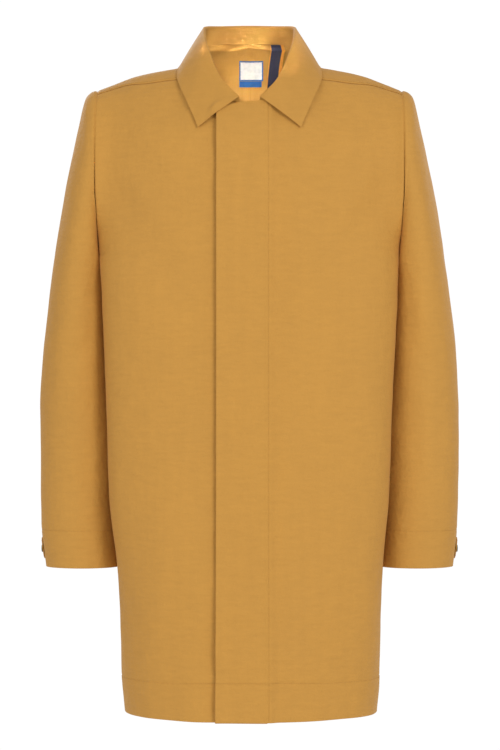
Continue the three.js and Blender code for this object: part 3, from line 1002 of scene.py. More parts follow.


# ---- how pieces are placed
class Carry:
    """The blend places of the moving pieces; each piece is only baked in place."""

    FRONT_START, FRONT_END = (0.0783, 0.0, 0.0054), (0.0199, 0.0, 0.0014)
    COLLAR_START, COLLAR_END = (0.080, 0.0, 0.0), (0.0132, 0.0, -0.0234)
    SLEEVE_START, SLEEVE_END = (0.217, 0.0, -0.286), (0.281, 0.0, -0.414)

    @staticmethod
    def front(piece: bpy.types.Object, side: Side) -> bpy.types.Object:
        """Bakes a front's placement into its mesh."""
        Carry._blend(piece, side, "front", Carry.FRONT_START, Carry.FRONT_END)
        return piece

    @staticmethod
    def collar(piece: bpy.types.Object, side: Side) -> bpy.types.Object:
        """Bakes a collar wing's placement into its mesh."""
        Carry._blend(piece, side, "front", Carry.COLLAR_START, Carry.COLLAR_END)
        return piece

    @staticmethod
    def sleeve(piece: bpy.types.Object, side: Side) -> bpy.types.Object:
        """Bakes a sleeve's placement into its mesh."""
        Carry._blend(piece, side, "sleeve", Carry.SLEEVE_START, Carry.SLEEVE_END)
        return piece

    @staticmethod
    def _blend(piece: bpy.types.Object, side: Side, body: str, start: tuple, end: tuple) -> None:
        """Bakes a piece's placement into its mesh; no blend to a moving body is made.

        Args:
            piece: The piece.
            side: Its side; not used.
            body: The body's name after its side; not used.
            start: Where the blend would start on +X; not used.
            end: Where it would end; not used.
        """
        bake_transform(piece)


def report(piece: bpy.types.Object, what: str) -> bpy.types.Object:
    """Logs a finished piece."""
    LOG.info("%s: %s, %d faces", piece.name, what, len(piece.data.polygons))
    return piece


# ---- stitches
@dataclass
class Stitching:
    """Rows of stitches along lines, made by a node tree."""

    name: str
    lines: list
    length: float = 2.3 * MM
    width: float = 0.42 * MM
    pitch: float = 3.0 * MM
    finish: str = "ochre_thread"

    TREE = "stitch_rows"

    @classmethod
    def tree(cls) -> bpy.types.NodeTree:
        """Stitches set along a line: resampled at the pitch, one thread on each point.

        Returns:
            The node tree, made once.
        """
        if cls.TREE in bpy.data.node_groups:
            return bpy.data.node_groups[cls.TREE]
        tree = bpy.data.node_groups.new(cls.TREE, "GeometryNodeTree")
        tree.interface.new_socket("Lines", in_out="INPUT", socket_type="NodeSocketGeometry")
        for label in ("Pitch", "Stitch length", "Thread width"):
            tree.interface.new_socket(label, in_out="INPUT", socket_type="NodeSocketFloat")
        tree.interface.new_socket("Thread", in_out="INPUT", socket_type="NodeSocketMaterial")
        tree.interface.new_socket("Stitches", in_out="OUTPUT", socket_type="NodeSocketGeometry")
        kinds = {
            "inputs": "NodeGroupInput", "outputs": "NodeGroupOutput", "curve": "GeometryNodeMeshToCurve",
            "even": "GeometryNodeResampleCurve", "along": "GeometryNodeInputTangent",
            "turn": "FunctionNodeAlignRotationToVector", "size": "ShaderNodeCombineXYZ",
            "thread": "GeometryNodeMeshIcoSphere", "row": "GeometryNodeInstanceOnPoints",
            "real": "GeometryNodeRealizeInstances", "smooth": "GeometryNodeSetShadeSmooth",
            "dress": "GeometryNodeSetMaterial",
        }
        n = {key: tree.nodes.new(kind) for key, kind in kinds.items()}
        n["even"].mode = "LENGTH"
        n["turn"].axis = "X"
        n["thread"].inputs["Radius"].default_value = 0.5
        n["thread"].inputs["Subdivisions"].default_value = 2
        links = (
            ("inputs", "Lines", "curve", "Mesh"), ("curve", 0, "even", "Curve"),
            ("inputs", "Pitch", "even", "Length"), ("even", 0, "row", "Points"),
            ("thread", "Mesh", "row", "Instance"), ("along", 0, "turn", "Vector"),
            ("turn", 0, "row", "Rotation"), ("inputs", "Stitch length", "size", 0),
            ("inputs", "Thread width", "size", 1), ("inputs", "Thread width", "size", 2),
            ("size", 0, "row", "Scale"), ("row", 0, "real", 0), ("real", 0, "smooth", 0),
            ("smooth", 0, "dress", "Geometry"), ("inputs", "Thread", "dress", "Material"),
            ("dress", 0, "outputs", 0),
        )
        for start, given, end, taken in links:
            tree.links.new(n[start].outputs[given], n[end].inputs[taken])
        return tree

    def build(self) -> bpy.types.Object:
        """Makes the stitches as one plain mesh.

        Returns:
            The piece.
        """
        points, edges = [], []
        for line in self.lines:
            start = len(points)
            points += [tuple(p) for p in line]
            edges += [(k, k + 1) for k in range(start, len(points) - 1)]
        mesh = bpy.data.meshes.new(self.name)
        mesh.from_pydata(points, edges, [])
        piece = link(self.name, mesh)
        tree = self.tree()
        ids = {s.name: s.identifier for s in tree.interface.items_tree if s.in_out == "INPUT"}
        modifier = piece.modifiers.new("stitches", "NODES")
        modifier.node_group = tree
        modifier[ids["Pitch"]] = self.pitch
        modifier[ids["Stitch length"]] = self.length
        modifier[ids["Thread width"]] = self.width
        modifier[ids["Thread"]] = FINISH.get(self.finish)
        piece.data.update_tag()
        settle(piece)
        FINISH.put(piece, self.finish)
        return report(piece, "stitches")


# ---- fronts and backs
@dataclass
class Front:
    """One front of the coat from its free edge round to the side seam, with its turned hem."""

    side: Side
    edge: float
    lift: float = 0.0
    turned: float = 10 * MM
    cell: float = 4.2 * MM
    fold: float = 0.95 * MM
    hem_depth: float = 52 * MM
    flat: tuple[float, float] = (0.42, 0.98)

    def raise_by(self, x: np.ndarray) -> np.ndarray:
        """How far the fly stands off the other front at x."""
        return self.lift * (1 - smoothstep(x, PLACKET_STITCH - 3 * MM, PLACKET_STITCH + 15 * MM))

    def gape(self, a: np.ndarray, z: np.ndarray) -> np.ndarray:
        """How the fly's free edge stands away a little, more in some places than in others.

        Args:
            a: Where across.
            z: The heights.

        Returns:
            The distances.
        """
        if not self.lift:
            return np.zeros_like(z)
        loose = 1.0 + 0.9 * np.sin(z / 0.026 + 1.0) * np.sin(z / 0.071) + 0.5 * np.sin(z / 0.0112)
        where = 0.55 + 1.5 * ridge(z + 0.13, 0.06) + 1.3 * ridge(z + 0.86, 0.10)
        return 0.9 * MM * loose * where * (1 - smoothstep(a, PLACKET_OUT, PLACKET_OUT + 14 * MM))

    def surface(self, a: np.ndarray, q: np.ndarray) -> np.ndarray:
        """The smooth form, with a positive on this front's own side of the centre."""
        c = a if self.side is Side.LEFT else -a
        return FORM.front(c, q, FORM.overlap_top if self.side is Side.LEFT else None)

    def pucker(self, a: np.ndarray, q: np.ndarray, p: np.ndarray) -> np.ndarray:
        """Grooves and puckers at the stitch lines and the seams.

        Args:
            a: Where across.
            q: The rows, as in front().
            p: The smooth form's points there.

        Returns:
            How far they move the cloth out.
        """
        z = p[..., 2]
        hem = z - (HEM_Z + self.hem_depth)
        total = -0.40 * MM * ridge(hem, 1.8 * MM)
        total = total + 0.22 * MM * np.sin(a / 1.7e-3 + 3 * np.sin(a * 60)) * ridge(hem, 9 * MM)
        total = total + 0.25 * MM * smoothstep(-hem, 0, 2 * MM)
        if self.lift:
            off = a - PLACKET_STITCH
            wave = np.sin(z / 1.45e-3 + 2.5 * np.sin(z * 41)) * (0.6 + 0.4 * np.sin(z * 23))
            total = total - 1.15 * MM * ridge(off, 1.7 * MM) + 0.42 * MM * wave * ridge(off + 2 * MM, 8 * MM)
            total = total - 0.55 * MM * ridge(off + 5 * MM, 1.6 * MM)
        seam = (SIDE_C - a) * 0.93
        total = total - DRAPE.seam_groove * ridge(seam, 2.6 * MM)
        shoulder = (2 - q) * 0.16
        return total - np.where(np.abs(p[..., 0]) > NECK_X, 1, 0) * 0.9 * MM * ridge(shoulder, 2.4 * MM)

    def at(self, a: np.ndarray, q: np.ndarray, off: np.ndarray | float = 0.0) -> np.ndarray:
        """Points of the outer face, off outside it.

        Args:
            a: Where across.
            q: The rows, as in front().
            off: Distance outside it.

        Returns:
            The points.
        """
        p = self.surface(a, q)
        n = surface_normals(self.surface, a, q, 4e-4, 4e-4)
        n = n * self.side.value
        fade = smoothstep(SIDE_C - a, 0, 0.028) * smoothstep(2 - q, -0.02, 0.30)
        near = np.where(np.abs(p[..., 0]) < NECK_X, 1.0, fade)
        rise = DRAPE.on_body(p, Face.FRONT) * np.minimum(near, smoothstep(SIDE_C - a, 0, 0.028))
        loose = self.raise_by(a) + self.gape(a, p[..., 2])
        return p + n * (rise + self.pucker(a, q, p) + loose + off)[..., None]

    def q_at(self, a: float, z: float) -> float:
        """The q whose height is z, in the column a."""
        q = np.linspace(0, 2, 900)
        return float(np.interp(z, self.surface(np.full_like(q, a), q)[..., 2], q))

    def columns(self) -> tuple[np.ndarray, np.ndarray]:
        """The columns' places and how far each lies inside the outer face.

        Returns:
            The places, then the distances inside.
        """
        turn = np.linspace(math.pi, 0, 7)[1:-1]
        inner = even(self.edge + self.turned, self.edge + self.fold, self.cell)
        outer = np.concatenate([
            even(self.edge + self.fold, PLACKET_STITCH - 8 * MM, self.cell * 0.9),
            even(PLACKET_STITCH - 8 * MM, PLACKET_STITCH + 6 * MM, 1.3 * MM),
            even(PLACKET_STITCH + 6 * MM, SIDE_C - 12 * MM, self.cell),
            np.linspace(SIDE_C - 12 * MM, SIDE_C, 8),
        ])
        round_fold = self.edge + self.fold * (1 - np.sin(turn))
        a = np.concatenate([inner, [self.edge + self.fold], round_fold, outer])
        inside = np.concatenate([np.full(len(inner) + 1, 2 * self.fold), self.fold * (1 - np.cos(turn)),
                                 np.zeros(len(outer))])
        return a, inside

    def rows(self) -> tuple[np.ndarray, np.ndarray]:
        """The same for the rows, from the top of the turned hem round its fold to the top edge.

        Returns:
            The places, then the distances inside.
        """
        height = 0.80
        turn = np.linspace(math.pi, 0, 7)[1:-1]
        top = self.hem_depth / height
        r = self.fold / height
        q = np.concatenate([
            even(top, r, self.cell / height), [r], r * (1 - np.sin(turn)),
            even(r, top - 0.012, self.cell / height),
            even(top - 0.012, top + 0.012, 1.6 * MM / height), even(top + 0.012, 1, self.cell / height),
            even(1, 1.93, 0.028), np.linspace(1.93, 2, 6),
        ])
        count = len(even(top, r, self.cell / height)) + 1
        inside = np.concatenate([np.full(count, 2 * self.fold), self.fold * (1 - np.cos(turn)),
                                 np.zeros(len(q) - count - len(turn))])
        return q, inside

    def build(self) -> bpy.types.Object:
        """Makes the front and says what it stands for.

        Returns:
            The piece.
        """
        a, inside = self.columns()
        q, under = self.rows()
        grid_a, grid_q = np.meshgrid(a, q)
        off = -(inside[None, :] + under[:, None])
        word = self.side.word
        piece = Cloth(f"front_cloth_{word}", self.at(grid_a, grid_q, off),
                      flip=self.side is Side.RIGHT).build()
        FINISH.put(piece, "ochre_shell_cloth")
        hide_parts(f"front_{word}", f"side_front_{word}", f"hem_front_{word}", f"hem_side_{word}")
        return report(Carry.front(piece, self.side), "front panel with turned edge and hem")

    def line(self, a: Sequence[float], q: Sequence[float], off: float = 0.18 * MM) -> np.ndarray:
        """Points along the outer face, for stitches."""
        return self.at(np.asarray(a, float), np.asarray(q, float), off)

    def hem_stitches(self) -> bpy.types.Object:
        """The row that holds the turned hem.

        Returns:
            The piece.
        """
        start = self.edge + (4 * MM if not self.lift else 2 * MM)
        a = np.linspace(start, SIDE_C - 2 * MM, 150)
        q = np.interp(np.full_like(a, HEM_Z + self.hem_depth), *self._heights())
        piece = Stitching(f"hem_stitches_front_{self.side.word}", [self.line(a, q)]).build()
        return Carry.front(piece, self.side)

    def _heights(self) -> tuple[np.ndarray, np.ndarray]:
        """Heights near the hem and the q of each."""
        q = np.linspace(0, 0.3, 60)
        return self.surface(np.full_like(q, 0.1), q)[..., 2], q

    def strip(self, name: str, a0: float, a1: float, z0: float, off: float, thick: float, finish: str,
              nodes: Sequence[str], top: float = 1.965) -> bpy.types.Object:
        """A long strip of cloth inside the front, from z0 up to near the top edge.

        Args:
            name: Its name.
            a0: Its first edge.
            a1: Its other edge.
            z0: Its foot's height.
            off: How far outside the front's unlifted face.
            thick: Its thickness.
            finish: Its finish.
            nodes: The nodes that it replaces.
            top: The q of its top.

        Returns:
            The piece.
        """
        a = np.linspace(a0, a1, 14)
        q = np.concatenate([np.linspace(self.q_at((a0 + a1) / 2, z0), 1, 110)[:-1], np.linspace(1, top, 26)])
        grid_a, grid_q = np.meshgrid(a, q)
        p = self.at(grid_a, grid_q, off - self.raise_by(grid_a))
        piece = Cloth(name, p, thick=thick, flip=self.side is Side.RIGHT).build()
        FINISH.put(piece, finish)
        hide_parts(*nodes)
        return report(Carry.front(piece, self.side), "inner strip")


@dataclass
class Back:
    """Half of the back, from the centre seam to the side, up and over the shoulder."""

    side: Side
    cell: float = 5.0 * MM
    fold: float = 0.95 * MM
    hem_depth: float = 52 * MM
    flat: tuple[float, float] = (0.33, 1.10)
    seamless: bool = False    # for pieces laid over the centre seam, which bridge its groove

    def surface(self, a: np.ndarray, q: np.ndarray) -> np.ndarray:
        """The smooth form, with a measured out from the centre."""
        return FORM.over(a * self.side.value, q)

    def q_neck(self, x: np.ndarray) -> np.ndarray:
        """The row where the neck edge or, beside it, its end crosses a column."""
        beside = float(FORM.back_neck_q(np.array(NECK_X)))
        return np.where(x < NECK_X, FORM.back_neck_q(np.minimum(x, NECK_X)), beside)

    @staticmethod
    def q_end(x: np.ndarray) -> np.ndarray:
        """Where the back ends in front of the shoulder line.

        Args:
            x: The columns' places.

        Returns:
            Their last q.
        """
        x = np.maximum(x, NECK_X)
        phi = np.arccos(1 - FORM.seam_drop(x) / FORM.arch(x, Face.FRONT))
        return 2 + phi / (math.pi / 2)

    def at(self, a: np.ndarray, q: np.ndarray, off: np.ndarray | float = 0.0) -> np.ndarray:
        """Points of the outer face, off outside it.

        Args:
            a: Where across.
            q: The rows, as in over().
            off: Distance outside it.

        Returns:
            The points.
        """
        p = self.surface(a, q)
        n = surface_normals(self.surface, np.where(np.abs(a) < 5e-4, 5e-4, a), q, 4e-4, 4e-4)
        n = n * -self.side.value
        end = self.q_end(np.abs(p[..., 0]))
        fade = smoothstep(SIDE_C - a, 0, 0.028) * smoothstep(end - q, -0.02, 0.30)
        hem = p[..., 2] - (HEM_Z + self.hem_depth)
        pucker = -0.40 * MM * ridge(hem, 1.8 * MM) - DRAPE.seam_groove * ridge((SIDE_C - a) * 0.93, 2.6 * MM)
        shoulder = np.where(np.abs(p[..., 0]) > NECK_X, 1, 0)
        pucker = pucker + shoulder * 0.35 * MM * ridge((end - q) * 0.16 - 4 * MM, 3 * MM)
        bridge = DRAPE.seam_groove * ridge(p[..., 0], 2.4 * MM) if self.seamless else 0.0
        return p + n * ((DRAPE.on_body(p, Face.BACK) + bridge) * fade + pucker + off)[..., None]

    def q_from(self, a: np.ndarray, z: np.ndarray) -> np.ndarray:
        """The q whose height is z, on the back itself.

        Args:
            a: Where across.
            z: The heights.

        Returns:
            Their q.
        """
        x, _ = FORM.across(Face.BACK, a, np.full_like(a, -0.1))
        top, arch = FORM.ridge_z(np.abs(x)), FORM.arch(x, Face.BACK)
        low = (z - HEM_Z) / (top - arch - HEM_Z)
        return np.where(low < 1, low, 2 - np.arccos(np.clip(1 - (top - z) / arch, 0, 1)) / (math.pi / 2))

    def build(self) -> bpy.types.Object:
        """Makes the half back and says what it stands for.

        Returns:
            The piece.
        """
        a = np.concatenate([
            even(0.15 * MM, 8 * MM, 2 * MM), even(8 * MM, NECK_X, self.cell),
            even(NECK_X, SIDE_C - 12 * MM, self.cell),
            np.linspace(SIDE_C - 12 * MM, SIDE_C, 7),
        ])
        height = 0.85
        turn = np.linspace(math.pi, 0, 7)[1:-1]
        r, top = self.fold / height, self.hem_depth / height
        straight = np.concatenate([
            even(top, r, self.cell / height), [r], r * (1 - np.sin(turn)),
            even(r, top - 0.01, self.cell / height),
            even(top - 0.01, top + 0.01, 2 * MM / height), even(top + 0.01, 1, self.cell / height),
        ])
        count = len(even(top, r, self.cell / height)) + 1
        x_top, _ = FORM.across(Face.BACK, a, np.full_like(a, -0.1))
        a[np.argmin(np.abs(x_top - NECK_X))] = np.interp(NECK_X, x_top, a)
        x_top, _ = FORM.across(Face.BACK, a, np.full_like(a, -0.1))
        up = np.linspace(0, 1, 26)[:-1]
        over = np.linspace(0, 1, 22)
        neck, end = self.q_neck(x_top), self.q_end(x_top)
        q = np.concatenate([np.repeat(straight[:, None], len(a), 1), 1 + up[:, None] * (neck - 1),
                            neck + over[:, None] * (end - neck)])
        inside = np.zeros(len(q))
        inside[:count] = 2 * self.fold
        inside[count : count + len(turn)] = self.fold * (1 - np.cos(turn))
        first = len(straight) + len(up)
        keep = np.ones((len(q) - 1, len(a) - 1), bool)
        keep[first:, : int(np.argmin(np.abs(x_top - NECK_X)))] = False
        grid_a = np.repeat(a[None, :], len(q), 0)
        word = self.side.word
        piece = Cloth(f"back_cloth_{word}", self.at(grid_a, q, -inside[:, None]), keep=keep,
                      flip=self.side is Side.LEFT).build()
        FINISH.put(piece, "ochre_shell_cloth")
        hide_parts(f"back_{word}", f"hem_back_{word}")
        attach(piece, "torso")
        return report(piece, "half back with turned hem")

    def patch(self, name: str, a: np.ndarray, q: np.ndarray, depth: np.ndarray | float, thick: float,
              finish: str) -> bpy.types.Object:
        """A piece that lies inside the back over the grid a, q, with its face depth inside the shell's."""
        piece = Cloth(name, self.at(a, q, -depth), thick=thick, flip=self.side is Side.LEFT).build()
        return FINISH.put(piece, finish)

    def seam_stitches(self) -> list[bpy.types.Object]:
        """The hem's row, and the row along the forward shoulder seam.

        Returns:
            The two pieces.
        """
        a = np.linspace(2 * MM, SIDE_C - 2 * MM, 140)
        rows = np.linspace(0, 0.3, 60)
        heights = self.surface(np.full_like(rows, 0.1), rows)[..., 2]
        q = np.full_like(a, np.interp(HEM_Z + self.hem_depth, heights, rows))
        hem = Stitching(f"hem_stitches_back_{self.side.word}", [self.at(a, q, 0.18 * MM)]).build()
        x_all, _ = FORM.across(Face.BACK, a, np.full_like(a, -0.1))
        over = a[x_all > NECK_X + 4 * MM]
        end = self.q_end(FORM.across(Face.BACK, over, np.full_like(over, -0.1))[0])
        line = self.at(over, end - 0.022, 0.15 * MM)
        shoulder = Stitching(f"shoulder_stitches_{self.side.word}", [line]).build()
        for piece in (hem, shoulder):
            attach(piece, "torso")
        return [hem, shoulder]


# ---- collar
class Route:
    """A smooth curve through points, made for +X and mirrored across the centre back."""

    def __init__(self, *points: tuple[float, float, float]) -> None:
        """Takes points in millimetres, from the front to the centre back."""
        p = np.array(points, float) * MM
        self.points = np.concatenate([[2 * p[0] - p[1]], p, [p[-2] * (-1, 1, 1)]])

    def __call__(self, t: np.ndarray) -> np.ndarray:
        """Points of the curve.

        Args:
            t: From 0 at the front to 1 at the centre back.

        Returns:
            The points.
        """
        spans = len(self.points) - 3
        g = np.clip(t, 0, 1) * spans
        k = np.minimum(g.astype(int), spans - 1)
        w = (g - k)[..., None]
        a, b, c, d = (self.points[k + j] for j in range(4))
        da, db, dc = (np.linalg.norm(v, axis=-1, keepdims=True) ** 0.5 for v in (b - a, c - b, d - c))
        m1 = ((b - a) / da - (c - a) / (da + db) + (c - b) / db) * db
        m2 = ((c - b) / db - (d - b) / (db + dc) + (d - c) / dc) * db
        return b + m1 * w + (3 * (c - b) - 2 * m1 - m2) * w**2 + (2 * (b - c) + m1 + m2) * w**3


@dataclass
class Collar:
    """A one-piece collar: it rises from the neck seam, folds over and lies on the shoulders."""

    fold: Route = field(default_factory=lambda: Route(
        (14, -95.5, -63), (37, -80, -37), (58.5, -45, 16), (62.5, -8, 41), (60.5, 32, 53), (40, 55, 57),
        (0, 61, 58.6)))
    edge: Route = field(default_factory=lambda: Route(
        (70.5, -98, -103.5), (76.5, -92, -88), (87.5, -79, -62), (100.5, -46, -28), (94.5, 6, -2.5),
        (76, 66, -8), (0, 97, -17)))
    base: Route = field(default_factory=lambda: Route(
        (12, -92.5, -68.5), (46, -87, -61), (71, -73, -44), (79.5, -24, 6), (77, 21, 15), (45, 47.5, 30.6),
        (0, 56.5, 32)))
    split: float = 0.5
    gap: float = 3.4 * MM
    crown: float = 2.5 * MM
    rest: float = 2.2 * MM
    thick: float = 1.3 * MM
    flat: tuple[float, float] = (0.17, 0.12)

    def at(self, t: np.ndarray, w: np.ndarray) -> np.ndarray:
        """Points of the collar on +X.

        Args:
            t: From 0 at the front to 1 at the centre back.
            w: 0 to 1 up the stand, to 2 round the fold and to 3 down the leaf.

        Returns:
            The points.
        """
        fold, edge, base = self.fold(t), self.edge(t), self.base(t)
        out = unit(fold * (1, 1, 0) + (0, 0.010, 0))
        v = np.clip(w, 0, 1)[..., None]
        stand = base + (fold - base) * (0.02 + 0.98 * v)
        theta = np.clip(w - 1, 0, 1)[..., None] * math.pi
        half = self.gap / 2
        over = fold + out * half * (1 - np.cos(theta)) + np.array((0, 0, 1.0)) * (
            self.crown * (1 - np.cos(theta)) / 2 + half * 0.6 * np.sin(theta))
        v = np.clip(w - 2, 0, 1)[..., None]
        roll = (1.6 - 1.2 * smoothstep(t, 0.2, 0.45))[..., None] * MM
        leaf = fold + (edge - fold) * v
        away = unit(leaf * (1, 1, 0) + (0, 0.010, 0))
        leaf = leaf + away * (self.gap * (1 - 0.45 * v) + roll * np.sin(math.pi * v))
        leaf = leaf + np.array((0, 0, 1.0)) * self.crown * (1 - v)
        level = w[..., None]
        p = np.where(level <= 1, stand, np.where(level <= 2, over, leaf))
        wavy = 0.35 * MM * np.sin(p[..., 0:1] / 0.011 + p[..., 2:3] / 0.017) * np.sin(math.pi * v)
        seam = -0.45 * MM * ridge(w - 0.965, 0.012)[..., None]
        return p + away * wavy + out * seam

    def grid(self, t0: float, t1: float, columns: int) -> tuple[np.ndarray, np.ndarray]:
        """The grid of a stretch of collar.

        Args:
            t0: Where the stretch starts.
            t1: Where it ends.
            columns: How many columns it has.

        Returns:
            The t and the w of its points.
        """
        t = np.linspace(t0, t1, columns)
        w = np.concatenate([
            np.linspace(0, 0.92, 10)[:-1], np.linspace(0.92, 1, 8)[:-1], np.linspace(1, 2, 9)[:-1],
            np.linspace(2, 2.95, 20)[:-1], np.linspace(2.95, 3, 4),
        ])
        return np.meshgrid(t, w)

    def laid(self, t: np.ndarray, w: np.ndarray, side: Side) -> np.ndarray:
        """The collar's points on one side, with the leaf kept off the cloth that it lies on.

        Args:
            t: The places along.
            w: The places across.
            side: Which side.

        Returns:
            The points.
        """
        a, q = np.meshgrid(np.linspace(0.004, 0.16, 70), np.linspace(1.2, 1.985, 60))
        beds = [Front(side, 0.0, FLY_LIFT if side is Side.LEFT else 0.0), Back(side)]
        grids = [(a, q), (a, q + 0.55)]
        if side is Side.RIGHT:
            beds.append(Front(Side.LEFT, PLACKET_OUT, FLY_LIFT))
            grids.append((PLACKET_OUT + a * 0.3, q))
        places, normals = [], []
        for bed, (ga, gq) in zip(beds, grids):
            step = 1e-3
            here = bed.at(ga, gq)
            n = unit(np.cross(bed.at(ga + step, gq) - here, bed.at(ga, gq + step) - here))
            n = n * np.sign((n * (here * (1, 1, 0) + (0, 0.02, 0.06))).sum(-1, keepdims=True))
            places.append(here.reshape(-1, 3))
            normals.append(n.reshape(-1, 3))
        p = self.at(t, w) * (side.value, 1, 1)
        return self._off(p, w, np.concatenate(places), np.concatenate(normals))

    def _off(self, p: np.ndarray, w: np.ndarray, places: np.ndarray, normals: np.ndarray) -> np.ndarray:
        """Moves the leaf's points out to their rest above the places.

        Args:
            p: The collar's points.
            w: Their places across.
            places: Points of the cloth below.
            normals: Its outward normals there.

        Returns:
            The moved points.
        """
        tree = KDTree(len(places))
        for k, place in enumerate(places):
            tree.insert(place, k)
        tree.balance()
        for blur in (10, 5, 2):
            push = np.zeros_like(p)
            for i, j in zip(*np.nonzero(w > 2.15)):
                _, k, far = tree.find(p[i, j])
                gap = float((p[i, j] - places[k]) @ normals[k])
                if gap < self.rest and far < self.rest * 4:
                    push[i, j] = normals[k] * (self.rest - gap)
            p = p + self._spread(push, blur) * smoothstep(w - 2.15, 0, 0.2)[..., None]
        return p

    @staticmethod
    def _spread(push: np.ndarray, times: int) -> np.ndarray:
        """Smooths a field of moves over the collar's grid.

        Args:
            push: A move for each point.
            times: How often it smooths.

        Returns:
            The smoothed moves.
        """
        for _ in range(times):
            wide = np.pad(push, ((1, 1), (1, 1), (0, 0)), mode="edge")
            beside = wide[:-2, 1:-1] + wide[2:, 1:-1] + wide[1:-1, :-2] + wide[1:-1, 2:]
            push = (wide[1:-1, 1:-1] * 2 + beside) / 6
        return push

    def build(self) -> list[bpy.types.Object]:
        """Makes the two wings and the back, and says what they stand for.

        Returns:
            The three pieces.
        """
        made = []
        for side in Side:
            t, w = self.grid(0, self.split, 64)
            p = self.laid(t, w, side)
            wing = Cloth(f"collar_wing_{side.word}", p, thick=self.thick, flip=side is Side.LEFT).build()
            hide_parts(f"collar_leaf_{side.word}", f"collar_stand_{side.word}")
            made.append(Carry.collar(wing, side))
        t, w = self.grid(self.split, 1, 44)
        left, right = self.laid(t, w, Side.LEFT), self.laid(t, w, Side.RIGHT)[:, ::-1]
        whole = np.concatenate([left, right[:, 1:]], 1)
        back = Cloth("collar_back", whole, thick=self.thick, flip=True).build()
        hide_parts("collar_leaf_back", "collar_stand_back")
        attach(back, "torso")
        made.append(back)
        for piece in made:
            report(FINISH.put(piece, "collar_cloth"), "collar")
        return made

    def stitches(self) -> bpy.types.Object:
        """The fine row just under the fold, inside the back of the neck.

        Returns:
            The piece.
        """
        t = np.linspace(0.62, 1, 60)
        line = self.at(t, np.full_like(t, 0.80))
        inner = -unit(line * (1, 1, 0)) * 0.2 * MM
        half = line + inner
        piece = Stitching("collar_stitches", [np.concatenate([half, (half * (-1, 1, 1))[::-1][1:]])],
                          width=0.34 * MM).build()
        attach(piece, "torso")
        return piece


